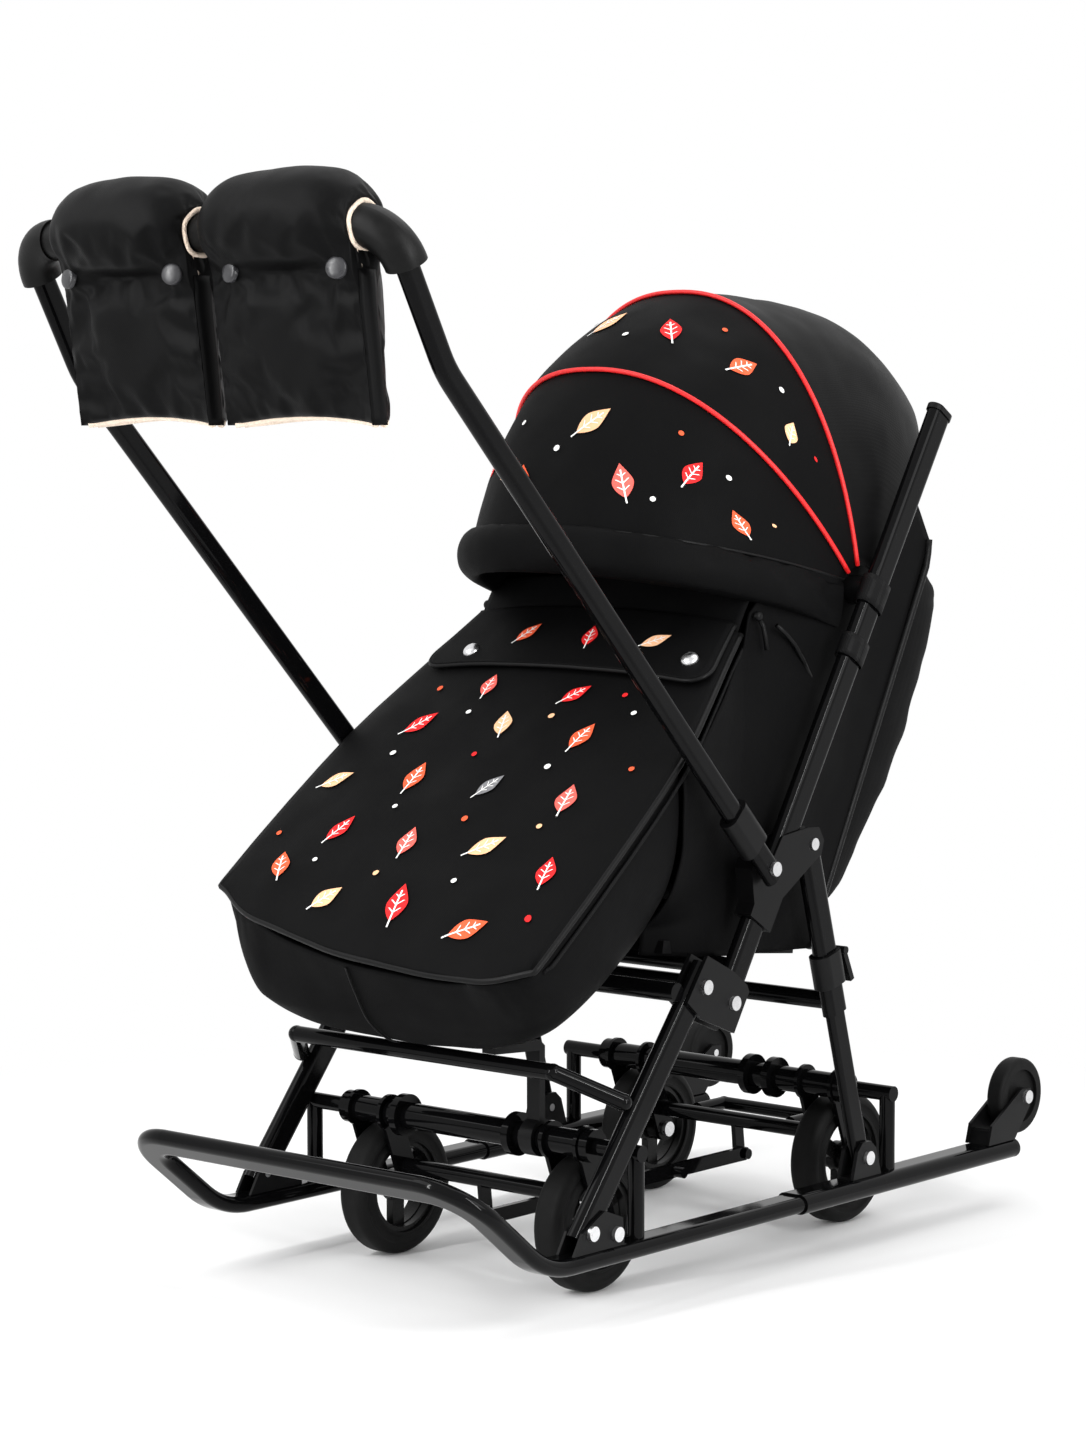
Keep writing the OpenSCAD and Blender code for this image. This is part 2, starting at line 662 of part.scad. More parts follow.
// Side panels between the leg cover, the posts and the back
module side_panels() color(cloth_black) stand() both() plate(side_in, side_in + 8) difference() {
  polygon([[-142, 338], [-98, 306], [74, 304], [108, 360], [176, 482], [270, 656], [277, 700], [256, 744],
    [186, 690], [110, 648], [-18, 628], cover_point(440, -2), cover_point(300, -2), [-152, 488]]);
  translate(hood_at) circle(r = boss_d / 2 + 21);
  translate(seat_tube_at) circle(d = crossbar_d + 0.6);
}

// Foot bag: an open trough with a closed foot end
module foot_bag() color(cloth_black) stand() {
  lows = [[-390, 319], [-376, 292], [-360, 264], [-336, 246], [-305, 249], [-275, 261], [-240, 277], [-205, 292],
    [-172, 306], [-150, 317]];
  slopes = [0, 2, 8, 22, 50, 90, 140, 190, 240, 285];
  wides = [150, 166, 182, 200, 215, 218, 217, 214, 211, 208];
  power = 2 / 3.2;
  steps = [for (k = [0 : 16]) 180 * k / 16];
  outer = [for (j = [0 : 9]) let (rim = cover_point(slopes[j], 0))
    [for (t = steps) let (p = rim + (lows[j] - rim) * spow(sin(t), power))
      [-wides[j] * spow(cos(t), power) * (1 - 0.08 * sin(t)), p[0], p[1]]]];
  inner = [for (j = [0 : 9]) let (in_rim = cover_point(slopes[j] + 6 - 0.6 * j, 0),
      low = lows[j] + (j < 3 ? [5, 2 + j] : [0, 6]))
    [for (t = steps) let (p = in_rim + (low - in_rim) * spow(sin(t), power))
      [-(wides[j] - 5) * spow(cos(t), power) * (1 - 0.08 * sin(t)), p[0], p[1]]]];
  grid_solid(outer, inner);
}

// Leg cover: the printed top panel
function cover_half(s) = between([[-3, 140], [0, 152], [3, 168], [9, 184], [23, 202], [50, 217], [90, 223],
  [140, 223], [190, 221], [240, 218], [285, 214], [330, 206], [375, 195], [430, 181], [470, 172]], s);
function cover_rise(s, u) = cover_crown * pow(1 - u * u, 0.7) * pow(min(1, max(0, (s + 3) / 90)), 0.6);
module leg_cover() color(cloth_black) stand() {
  rows = [-3, 0, 3, 9, 23, 50, 90, 140, 190, 240, 285, 330, 375, 430, 470];
  cols = [for (u = [0 : 12]) 1 - u / 6];
  face = function (lift) [for (s = rows) [for (u = cols) let (p = cover_point(s, cover_rise(s, u) + lift))
    [u * cover_half(s), p[0], p[1]]]];
  grid_solid(face(8), face(0.5));
}
// Short flap that stands up at the upper end of the leg cover
module wind_flap() color(cloth_black) stand() {
  rows = [for (v = [0 : 5]) v / 5];
  cols = [for (u = [0 : 12]) 1 - u / 6];
  top = 470;
  face = function (back) [for (v = rows) [for (u = cols)
    let (p = cover_point(top + back, cover_rise(top, u) + 1) + v * [20, 30])
    [u * (cover_half(top) - 4), p[0], p[1]]]];
  grid_solid(face(0.4), face(5));
}

// Back panel behind the backrest, and the pocket on it
function back_line(z) = between([[300, 72], [680, 276], [700, 280]], z);
function back_bulge(x) = 16 * (1 - pow(x / back_half, 2));
function hood_edge(x) =
  (hood_r - 1.5) * pow(max(0, 1 - pow(abs(x) / (hood_half - 1.5), hood_power)), 1 / hood_power);
module back_panel() color(cloth_black) stand() {
  zs = [306, 360, 430, 500, 570, 640, 690];
  cols = [for (u = [0 : 12]) -1 + u / 6];
  last = rear_to + 2;
  face = function (back) concat(
    [for (z = zs) [for (u = cols) [u * back_half, back_line(z) + back_bulge(u * back_half) + back, z]]],
    [for (f = [0.5, 1]) [for (u = cols) let (r = hood_edge(u * back_half),
        low = [back_line(690) + back_bulge(u * back_half), 690],
        high = [hood_at[0] - r * cos(last), hood_at[1] + r * sin(last)],
        p = low + f * (high - low) + [10 * f * (1 - f) * (1 - u * u), 0])
      [u * back_half, p[0] + back, p[1]]]]);
  grid_solid(face(4), face(0));
}
module back_pocket() color(cloth_black) stand() {
  zs = [336, 350, 378, 430, 487, 560, 615, 645, 668, 682];
  depth = [0.05, 0.46, 0.66, 0.86, 1, 0.96, 0.82, 0.7, 0.4, 0.05];
  cols = [for (u = [0 : 12]) -1 + u / 6];
  half = back_half - 7.6;
  base = [for (z = zs) [for (u = cols) [u * half, back_line(z) + back_bulge(u * half) + 4.45, z]]];
  full = [for (j = [0 : 9]) [for (u = cols)
    [u * half * (0.96 + 0.04 * (1 - abs(u))), back_line(zs[j]) + back_bulge(u * half) + 5.5
      + pocket_depth * depth[j] * (0.55 + 0.45 * pow(1 - pow(abs(u), 4), 0.5)), zs[j]]]];
  grid_solid(full, base);
}

// Backrest board with its pad, and the footrest board inside the foot bag
module backrest() color(cloth_grey) stand() {
  low = [90, 334];
  up = [sin(28.2), cos(28.2)];
  out = [-up[1], up[0]];
  rows = [for (v = [0 : 10]) v / 10];
  cols = [for (u = [0 : 10]) -1 + u / 5];
  crown = function (u, v) 10 + 22 * pow(1 - pow(abs(u), 4), 0.5) * pow(1 - pow(abs(2 * v - 1), 6), 0.5);
  face = function (lift) [for (v = rows) [for (u = cols) let (h = lift ? crown(u, v) : 0,
    p = low + 390 * v * up + h * out) [-u * (seat_half - 7), p[0], p[1]]]];
  grid_solid(face(true), face(false));
  rod(rest_pivot, -seat_half + 20, seat_half - 20, 14);
}
module footrest_board() color(plastic_black) stand() {
  plate(-115, 115) polygon([[-156, 333.8], [-156, 341.8], [-300, 281.8], [-300, 273.8]]);
  rod(board_pivot, -100, 100, 8);
}

// Hood sections, each one nested inside the next
module hood_section(level, from, to) {
  r = hood_r - level * hood_step;
  a = hood_half - level * hood_side_step;
  e = 2 / hood_power;
  steps = [for (k = [-14 : 14]) 86.8 * k / 14];
  outer = [for (t = steps) [r * spow(cos(t), e), a * spow(sin(t), e)]];
  inner = [for (t = steps) [(r - hood_wall) * spow(cos(t), e), (a - hood_wall) * spow(sin(t), e)]];
  back = [for (k = [28 : -1 : 0]) inner[k]];
  turn(hood_at, 0, 180 - to, to - from) polygon(concat(outer, back));
  both() difference() {
    rod(hood_at, a - hood_wall + 0.2, a - 0.2, 64);
    rod(hood_at, a - hood_wall - 1, a + 1, boss_d + 2 * gap);
  }
}
module hood_rear() color(cloth_black) stand() hood_section(0, rear_from, rear_to);
module hood_mid() color(cloth_black) stand() hood_section(1, mid_from, rear_from + 2);
module hood_front() color(cloth_black) stand() hood_section(2, visor_from, mid_from + 2);

// Handle
module handle_arms() color(steel_black) stand() both() difference() {
  union() {
    run(handle_at - 13 * arm_dir, arm_corner - arm_cut * arm_dir, arm_x) oval_wall(arm_t, arm_w);
    turn(arm_corner - arm_cut * arm_dir + arm_bend_r * [arm_dir[1], -arm_dir[0]], arm_x,
        arm_lean - arm_bend + 90, arm_bend)
      translate([arm_bend_r, 0]) oval_wall(arm_w, arm_t);
    run(arm_corner + arm_cut * arm_upper, arm_end, arm_x) oval_wall(arm_t, arm_w);
  }
  rod(handle_at, arm_x - 20, arm_x + 20, bolt_d + 2 * fit);
}
module handle_bar() color(rubber_black) stand() {
  rod(bar_at, -bar_half, bar_half, grip_d);
  both() translate([0, arm_end[0], arm_end[1]]) rotate([arm_lean - arm_bend, 0, 0])
    translate([bar_half, 0.2, 0]) rotate_extrude(angle = 90, $fn = 96)
      translate([elbow_r, 0]) circle(d = elbow_d);
}
module handle_locks() color(plastic_black) stand() both()
  run(handle_at + 32 * arm_dir, handle_at + 80 * arm_dir, arm_x) difference() {
    oval(arm_t + 5.2, arm_w + 12);
    oval(arm_t + 0.6, arm_w + 0.6);
  }

// Hand muffs: a padded roll round the grip, closed under it,
// and a flat pouch that hangs behind it, open at the hem
module muff(centre) {
  hem = -muff_drop;
  hug = grip_d / 2 + 0.4;
  pad = 8;
  cols = [for (k = [0 : 12]) -1 + k / 6];
  fronts = [hem, -140, -110, -85, -64];
  rears = [-24, -48, -80, -110, -140, hem];
  front = function (h) between([[hem, 18], [-110, 13], [-64, 6], [-48, 2]], h);
  rear = function (h) between([[hem, 60], [-110, 58], [-48, 54], [-24, 50]], h);
  sewn = function (u) 1 - 0.8 * pow(abs(u), 6);
  face_y = function (u, h, way, out) (front(h) + rear(h)) / 2
    + way * (((rear(h) - front(h)) / 2 - pad) * sewn(u) + (out ? pad : 0));
  roll = function (u, out) hug + (out ? (muff_d / 2 - hug) * (1 - 0.72 * pow(abs(u), 4)) : 0);
  strip = function (u, out) concat(
    [for (h = fronts) [face_y(u, h, -1, out), h]],
    [out ? [face_y(u, -48, -1, true), -48] : [face_y(u, -48, -1, false), -40]],
    [for (a = [240 : -20 : 0]) roll(u, out) * [cos(a), sin(a)]],
    [for (h = rears) [face_y(u, h, 1, out), h]]);
  face = function (out) [for (u = cols) [for (p = strip(u, out))
    [centre + u * muff_half, bar_at[0] + p[0], bar_at[1] + p[1]]]];
  grid_solid(face(true), face(false));
}
module muff_right() color(cloth_black) stand() muff(muff_x[0]);
module muff_left() color(cloth_black) stand() muff(muff_x[1]);

// The parts
front_bow();
runners();
runner_end_caps();
front_legs();
runner_brackets();
footrest_bar();
footrest_strut();
front_axle_bridge();
rear_axle_bridge();
fold_brackets();
frame_bolts();
front_swing_tube();
front_fork_plates();
front_lower_bar();
front_axle_pins();
rear_swing_tube();
rear_fork_plates();
rear_lower_bar();
rear_axle_pins();
foot_pedal_bar();
link_rod();
tyre_front_right();
rim_front_right();
tyre_front_left();
rim_front_left();
tyre_rear_right();
rim_rear_right();
tyre_rear_left();
rim_rear_left();
tilt_wheel_right();
tilt_wheel_left();
rear_legs_lower();
rear_legs_upper();
rear_crossbar();
leg_clamps();
clamp_levers();
side_posts();
post_caps();
hinge_blocks();
upper_bolts();
hood_pivots();
seat_tube();
seat_base();
seat_pad();
side_panels();
foot_bag();
leg_cover();
wind_flap();
back_panel();
back_pocket();
hood_rear();
backrest();
footrest_board();
hood_mid();
hood_front();
handle_arms();
handle_bar();
handle_locks();
muff_right();
muff_left();
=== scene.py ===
import json
import math

import bpy
import numpy as np
from mathutils import Matrix, Vector, noise


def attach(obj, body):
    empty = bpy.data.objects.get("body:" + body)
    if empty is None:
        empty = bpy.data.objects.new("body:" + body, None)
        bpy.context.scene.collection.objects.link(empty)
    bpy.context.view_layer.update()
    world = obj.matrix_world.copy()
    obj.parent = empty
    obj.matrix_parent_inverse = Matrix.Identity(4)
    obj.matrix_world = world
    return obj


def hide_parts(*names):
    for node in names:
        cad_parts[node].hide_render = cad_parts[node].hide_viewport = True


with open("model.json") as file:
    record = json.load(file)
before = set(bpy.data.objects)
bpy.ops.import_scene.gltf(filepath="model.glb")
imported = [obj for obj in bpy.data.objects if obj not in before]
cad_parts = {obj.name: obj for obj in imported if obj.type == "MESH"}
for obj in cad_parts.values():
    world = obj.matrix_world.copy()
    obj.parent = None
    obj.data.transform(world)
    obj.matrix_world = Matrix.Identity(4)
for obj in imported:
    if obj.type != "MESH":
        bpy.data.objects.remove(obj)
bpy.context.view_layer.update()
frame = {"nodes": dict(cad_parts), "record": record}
NODES = frame["nodes"]

# Lengths here are in mm, with Y from the middle of the wheelbase.
# at() turns them into metres in the row frame.
MID_Y = 92.2487
RUNNER_X = 208
FOLD = np.array([-100.0, 274.0])
POST_LEAN = math.radians(57.8)
POST_DIR = np.array([math.cos(POST_LEAN), math.sin(POST_LEAN)])
POST_FRONT = np.array([-POST_DIR[1], POST_DIR[0]])
HOOD = np.array([142.0, 659.0])
HOOD_POWER = 2 / 2.3
BAR = np.array([-582.497, 990.627])
COVER_FOOT = np.array([-397.0, 328.5])
COVER_DIR = np.array([0.790, 0.613])
COVER_UP = np.array([-0.613, 0.790])
SIDES = (("right", 1), ("left", -1))
UPPER = "upper_frame"


def at(x, y, z):
    """A point in metres in the row frame."""
    return (x / 1000, (y + MID_Y) / 1000, z / 1000)


def post_point(s, n):
    """A point [Y, Z] beside a post, s along it from the fold pivot and n towards the front."""
    return FOLD + s * POST_DIR + n * POST_FRONT


def spow(v, e):
    """Signed power, for rounded outlines."""
    return math.copysign(abs(v) ** e, v)


def ripple(p, size, seed=0):
    """Smooth noise from -1 to 1 at a point in mm, with bumps of about the given size."""
    return noise.noise(Vector((p[0] / size + seed, p[1] / size, p[2] / size)))


def unit(v):
    """A vector of length 1."""
    v = np.array(v, float)
    return v / np.linalg.norm(v)


# Finishes
def new_material(name):
    """An empty node material, its tree and its main shader."""
    mat = bpy.data.materials.new(name)
    mat.use_nodes = True
    tree = mat.node_tree
    return mat, tree, tree.nodes["Principled BSDF"]


def set_inputs(node, values):
    """Sets a shader node's inputs by their names."""
    for key, value in values.items():
        node.inputs[key].default_value = value


def add_node(tree, kind, values):
    """A new shader node with some of its inputs set."""
    node = tree.nodes.new("ShaderNode" + kind)
    set_inputs(node, values)
    return node


def add_mapped(tree, kind, values):
    """A new shader node fed by the object's own coordinates."""
    coords = add_node(tree, "TexCoord", {})
    node = add_node(tree, kind, values)
    tree.links.new(coords.outputs["Object"], node.inputs["Vector"])
    return node


def add_noise(tree, scale, detail=4.0):
    """A noise texture's values."""
    return add_mapped(tree, "TexNoise", {"Scale": scale, "Detail": detail}).outputs["Fac"]


def ramp(tree, source, low, high):
    """Maps a texture's middle values to the range from low to high."""
    span = add_node(tree, "MapRange", {"From Min": 0.3, "From Max": 0.7, "To Min": low, "To Max": high})
    tree.links.new(source, span.inputs["Value"])
    return span.outputs["Result"]


def mix_colour(tree, factor, first, second):
    """A colour between two, by a factor."""
    mix = add_node(tree, "Mix", {6: (*first, 1), 7: (*second, 1)})
    mix.data_type = "RGBA"
    tree.links.new(factor, mix.inputs[0])
    return mix.outputs[2]


def add_bump(tree, shader, height, strength, distance):
    """Roughens a surface by a height texture."""
    bump = add_node(tree, "Bump", {"Strength": strength, "Distance": distance})
    tree.links.new(height, bump.inputs["Height"])
    tree.links.new(bump.outputs["Normal"], shader.inputs["Normal"])


def mottle(tree, shader, scale, dark, light, rough):
    """Gives a shader blotches of colour and roughness."""
    blotch = add_noise(tree, scale)
    tree.links.new(mix_colour(tree, blotch, dark, light), shader.inputs["Base Color"])
    tree.links.new(ramp(tree, blotch, rough[0], rough[1]), shader.inputs["Roughness"])


def combine(tree, operation, first, second):
    """One value worked out from two."""
    node = add_node(tree, "Math", {})
    node.operation = operation
    tree.links.new(first, node.inputs[0])
    tree.links.new(second, node.inputs[1])
    return node.outputs["Value"]


def mix_shaders(tree, factor, first, second, output):
    """Mixes two shaders by a factor and shows the result."""
    mix = add_node(tree, "MixShader", {})
    tree.links.new(factor, mix.inputs["Fac"])
    tree.links.new(first, mix.inputs[1])
    tree.links.new(second, mix.inputs[2])
    tree.links.new(mix.outputs["Shader"], tree.nodes[output].inputs["Surface"])


def surface(name, dark, light, rough, bump, scale, metal=0.0, gloss=0.5, fine=900, sheen=0.0):
    """A finish with mottled colour and roughness and a fine grain."""
    mat, tree, shader = new_material(name)
    mottle(tree, shader, scale, dark, light, rough)
    set_inputs(shader, {"Metallic": metal, "Specular IOR Level": gloss, "Sheen Weight": sheen,
                        "Sheen Roughness": 0.45})
    add_bump(tree, shader, add_noise(tree, fine, 2.0), *bump)
    return mat


CLOTH_BLOTCH = 14
THREAD_DEPTH = 0.0003


def cloth(name, dark, light, rough=(0.58, 0.74), gloss=0.1, pitch=260, strength=0.3):
    """A woven finish: two crossed waves for the threads, with soft blotches."""
    mat, tree, shader = new_material(name)
    mottle(tree, shader, CLOTH_BLOTCH, dark, light, rough)
    waves = []
    for direction in ("X", "DIAGONAL"):
        wave = add_mapped(tree, "TexWave", {"Scale": pitch, "Distortion": 0.6})
        wave.bands_direction = direction
        waves.append(wave.outputs["Fac"])
    set_inputs(shader, {"Specular IOR Level": gloss})
    add_bump(tree, shader, combine(tree, "MULTIPLY", *waves), strength, THREAD_DEPTH)
    return mat


PAINT = surface("gloss_black_paint", (0.0015, 0.0015, 0.0017), (0.0028, 0.0028, 0.003), (0.04, 0.1),
                (0.015, 0.0003), 25, gloss=0.1, fine=350)
PLASTIC = surface("satin_black_plastic", (0.0022, 0.0022, 0.0024), (0.0044, 0.0044, 0.0046), (0.3, 0.44),
                  (0.12, 0.0003), 40, gloss=0.13, fine=1400)
STEEL = surface("bright_zinc", (0.62, 0.62, 0.63), (0.82, 0.82, 0.83), (0.22, 0.4),
                (0.08, 0.0002), 180, metal=1.0)
RUBBER = surface("tyre_rubber", (0.0024, 0.0024, 0.0024), (0.005, 0.005, 0.005), (0.55, 0.7),
                 (0.25, 0.0005), 60, gloss=0.13)
RIM = surface("rim_plastic", (0.0024, 0.0024, 0.0024), (0.005, 0.005, 0.005), (0.22, 0.36),
              (0.08, 0.0003), 50, gloss=0.16)
FOAM = surface("grip_foam", (0.0026, 0.0026, 0.0026), (0.005, 0.005, 0.005), (0.36, 0.5), (0.25, 0.0004), 90,
               gloss=0.13, fine=1600)
BLACK_CLOTH = cloth("black_cloth", (0.0014, 0.0014, 0.0015), (0.0026, 0.0026, 0.0028), gloss=0.06)
SHINY_CLOTH = cloth("black_nylon", (0.0013, 0.0013, 0.0014), (0.0024, 0.0024, 0.0026), (0.42, 0.56), 0.08)
PAD_CLOTH = cloth("seat_cloth", (0.005, 0.005, 0.0055), (0.009, 0.009, 0.01))
WEBBING = cloth("strap_webbing", (0.002, 0.002, 0.0022), (0.004, 0.004, 0.0043), (0.46, 0.62),
                0.1, 150, 0.6)
PIPING = surface("black_piping", (0.0022, 0.0022, 0.0022), (0.0045, 0.0045, 0.0048), (0.34, 0.48),
                 (0.2, 0.0003), 120, gloss=0.13)
RED_PIPING = surface("red_piping", (0.62, 0.006, 0.008), (0.78, 0.012, 0.012), (0.4, 0.55),
                     (0.2, 0.0003), 120)
FLEECE = surface("cream_fleece", (0.72, 0.56, 0.43), (0.9, 0.77, 0.64), (0.85, 0.98), (0.9, 0.003), 260,
                 fine=420, sheen=0.3)
DARK_SNAP = surface("grey_snap", (0.016, 0.016, 0.018), (0.03, 0.03, 0.033), (0.25, 0.4),
                    (0.05, 0.0002), 200)

SLOT_FINISH = {
    "frame_black": PAINT, "black_plastic": PLASTIC, "bright_steel": STEEL, "tyre_rubber": RUBBER,
    "rim_black": RIM, "grip_foam": FOAM, "black_fabric": BLACK_CLOTH, "seat_fabric": PAD_CLOTH,
}
for part in frame["record"]["subparts"]:
    shown = NODES[part["node"]]
    shown.data.materials.clear()
    shown.data.materials.append(SLOT_FINISH[part["material_slot"]])


# Building meshes
def add_object(name, verts, faces, materials, body, face_slots=None):
    """A smooth mesh object from points in metres, riding on a CAD body."""
    mesh = bpy.data.meshes.new(name)
    mesh.from_pydata([tuple(v) for v in verts], [], faces)
    for mat in materials:
        mesh.materials.append(mat)
    if face_slots is not None:
        mesh.polygons.foreach_set("material_index", face_slots)
    mesh.polygons.foreach_set("use_smooth", [True] * len(mesh.polygons))
    mesh.update()
    obj = bpy.data.objects.new(name, mesh)
    bpy.context.scene.collection.objects.link(obj)
    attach(obj, body)
    return obj


def grid_faces(n, m, start=0, flip=False, closed=False):
    """Faces of a grid of n by m points."""
    faces = []
    for i in range(n - 1):
        for j in range(m if closed else m - 1):
            k = (j + 1) % m
            quad = (start + i * m + j, start + i * m + k, start + (i + 1) * m + k, start + (i + 1) * m + j)
            faces.append(quad[::-1] if flip else quad)
    return faces


def point_rows(first, second, point):
    """Rows of points from a function of two values."""
    return [[point(a, b) for b in second] for a in first]


def sheet_mesh(name, rows, mat, body, thickness=0.0, offset=-1):
    """A surface from rows of points in mm, made thicker by a modifier."""
    n, m = len(rows), len(rows[0])
    obj = add_object(name, [at(*p) for row in rows for p in row], grid_faces(n, m), [mat], body)
    if thickness:
        mod = obj.modifiers.new("thickness", "SOLIDIFY")
        mod.thickness = thickness / 1000
        mod.offset = offset
    return obj


def grid_rim(n, m):
    """Indices round the edge of a grid of n by m points."""
    edge = list(range(m)) + [i * m + m - 1 for i in range(1, n)]
    return edge + [(n - 1) * m + j for j in range(m - 2, -1, -1)] + [i * m for i in range(n - 2, 0, -1)]


def solid_mesh(name, outer, inner, materials, body, inner_slot=0):
    """A closed solid between two grids of points in mm."""
    n, m = len(outer), len(outer[0])
    half = n * m
    verts = [at(*p) for rows in (outer, inner) for row in rows for p in row]
    faces = grid_faces(n, m)
    slots = [0] * len(faces)
    faces += grid_faces(n, m, half, True)
    slots += [inner_slot] * (len(faces) - len(slots))
    edge = grid_rim(n, m)
    for k, a in enumerate(edge):
        b = edge[(k + 1) % len(edge)]
        faces.append((a, a + half, b + half, b))
    slots += [0] * (len(faces) - len(slots))
    volume = 0.0
    for a, b, c, d in faces:
        volume += np.dot(verts[a], np.cross(verts[b], verts[c]) + np.cross(verts[c], verts[d]))
    if volume < 0:
        faces = [f[::-1] for f in faces]
    return add_object(name, verts, faces, materials, body, slots)


def tube_mesh(name, path, radius, mat, body, sides=10, closed=False):
    """A round cord along a path of points in mm."""
    path = np.array(path, float)
    n = len(path)
    verts = []
    side = None
    for i in range(n):
        if closed:
            along_path = unit(path[(i + 1) % n] - path[i - 1])
        else:
            along_path = unit(path[min(i + 1, n - 1)] - path[max(i - 1, 0)])
        if side is None:
            side = np.cross(along_path, [0.3, 0.5, 0.8])
        side = unit(side - along_path * np.dot(side, along_path))
        other = np.cross(along_path, side)
        for k in range(sides):
            a = 2 * math.pi * k / sides
            verts.append(at(*(path[i] + radius * (math.cos(a) * side + math.sin(a) * other))))
    faces = grid_faces(n, sides, closed=True)
    if closed:
        last = (n - 1) * sides
        faces += [(last + k, last + (k + 1) % sides, (k + 1) % sides, k) for k in range(sides)]
    else:
        faces += [tuple(range(sides))[::-1], tuple(range((n - 1) * sides, n * sides))]
    return add_object(name, verts, faces, [mat], body)


def dome_mesh(name, centre, normal, radius, height, mat, body, stem=2.0):
    """A domed snap cap on a surface, in mm."""
    normal = unit(normal)
    side = unit(np.cross(normal, [0.9, 0.1, 0.2]))
    other = np.cross(normal, side)
    rings = [(1.0, -stem), (1.0, 0.0), (0.93, 0.35), (0.8, 0.62), (0.6, 0.84), (0.33, 0.96), (0.03, 1.0)]
    count = 28
    verts = []
    for share, rise in rings:
        lift = rise if rise < 0 else rise * height
        for k in range(count):
            a = 2 * math.pi * k / count
            reach = radius * share * (math.cos(a) * side + math.sin(a) * other)
            verts.append(at(*(np.array(centre, float) + reach + lift * normal)))
    faces = grid_faces(len(rings), count, closed=True)
    faces.append(tuple(range((len(rings) - 1) * count, len(rings) * count)))
    return add_object(name, verts, faces, [mat], body)


INWARD_CAP = 2.5
PUFF_STEPS = 20
PUFF_CLOTH = {
    "quality": 5, "mass": 0.3, "tension_stiffness": 15, "compression_stiffness": 15,
    "shear_stiffness": 5, "bending_stiffness": 0.3, "use_pressure": True,
}


def add_rounding(obj):
    """Rounds a mesh off by one step of subdivision."""
    mod = obj.modifiers.new("rounding", "SUBSURF")
    mod.levels = 1
    mod.render_levels = 1


def puff(obj, held, pressure, grow, cap):
    """Blows a padded piece up by cloth simulation, with some points held and movement capped in mm."""
    scene = bpy.context.scene
    group = obj.vertex_groups.new(name="held")
    group.add([int(k) for k in held], 1.0, "REPLACE")
    sim = obj.modifiers.new("puff", "CLOTH")
    for key, value in PUFF_CLOTH.items():
        setattr(sim.settings, key, value)
    sim.settings.uniform_pressure_force = pressure
    sim.settings.shrink_min = -grow
    sim.settings.vertex_group_mass = "held"
    sim.settings.effector_weights.gravity = 0
    sim.point_cache.frame_start = 1
    sim.point_cache.frame_end = PUFF_STEPS
    for step in range(1, PUFF_STEPS + 1):
        scene.frame_set(step)
    shape = obj.evaluated_get(bpy.context.evaluated_depsgraph_get()).data
    count = len(obj.data.vertices)
    old, new = np.empty(count * 3), np.empty(count * 3)
    obj.data.vertices.foreach_get("co", old)
    shape.vertices.foreach_get("co", new)
    move = (new - old).reshape(-1, 3)
    size = np.linalg.norm(move, axis=1, keepdims=True)
    move *= np.minimum(1, cap / 1000 / np.maximum(size, 1e-9))
    out = np.array([v.normal for v in obj.data.vertices])
    inward = np.minimum(0, np.sum(move * out, axis=1, keepdims=True) + INWARD_CAP / 1000)
    move -= inward * out
    obj.modifiers.remove(sim)
    obj.data.vertices.foreach_set("co", old + move.ravel())
    obj.data.update()
    scene.frame_set(1)
    add_rounding(obj)


# Leg cover
COVER_S = [-3, 0, 3, 9, 23, 50, 90, 140, 190, 240, 285, 330, 375, 430, 470]
COVER_W = [140, 152, 168, 184, 202, 217, 223, 223, 221, 218, 214, 206, 195, 181, 172]
COVER_TOP = 470
COVER_CROWN = 16
COVER_FACE, COVER_BACK = 8, 0.8
CORNER = 7
FOOT_X = [-223, -171, -18, 109, 191, 224]
FOOT_S = [72, 36, 0, -12, -11, 14]
FOOT_SMOOTH = np.linspace(-24, 24, 7)


def cover_half(s):
    """Half width of the leg cover at s up its slope."""
    return float(np.interp(s, COVER_S, COVER_W))


def foot_shift(x, s):
    """How far the slack foot end of the cover has slid along its slope at x, fading out upwards."""
    own = float(np.interp(abs(x), COVER_W[:CORNER], COVER_S[:CORNER]))
    fade = max(0.0, 1 - max(0.0, s - own) / 200) ** 2
    return (float(np.mean(np.interp(x + FOOT_SMOOTH, FOOT_X, FOOT_S))) - own) * fade


def cover_point(x, s, lift):
    """A point of the leg cover, lifted off its plane by its crown and by lift."""
    u = max(-1.0, min(1.0, x / cover_half(s)))
    crown = COVER_CROWN * (1 - u * u) ** 0.7 * min(1, max(0, (s + 3) / 90)) ** 0.6
    p = COVER_FOOT + (s + foot_shift(x, s)) * COVER_DIR + (crown + lift) * COVER_UP
    return np.array([x, p[0], p[1]])


def cover_sag(p):
    """Soft unevenness of the cover's face at a point."""
    return 1.6 * (1.4 * ripple(p, 75, 3) + 0.6 * ripple(p, 32, 9))


def cover_rows(lift, s_values, inset, soft):
    """Rows of points of the leg cover between two lines across it."""
    def point(s, u):
        p = cover_point(u * (cover_half(s) - inset), s, lift)
        p[1:] += COVER_UP * soft * (1 - abs(u) ** 10) * cover_sag(p)
        return p

    return point_rows(s_values, np.linspace(1, -1, 57), point)


cover_steps = np.concatenate([[-3, -1.5, 0, 1.5, 3, 6, 9, 15, 23, 35, 50], np.linspace(62, COVER_TOP, 52)])
leg_cover = solid_mesh("leg_cover_cloth", cover_rows(COVER_FACE, cover_steps, 0, 1),
                       cover_rows(COVER_BACK, cover_steps, 1, 0), [BLACK_CLOTH], UPPER)
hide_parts("leg_cover")

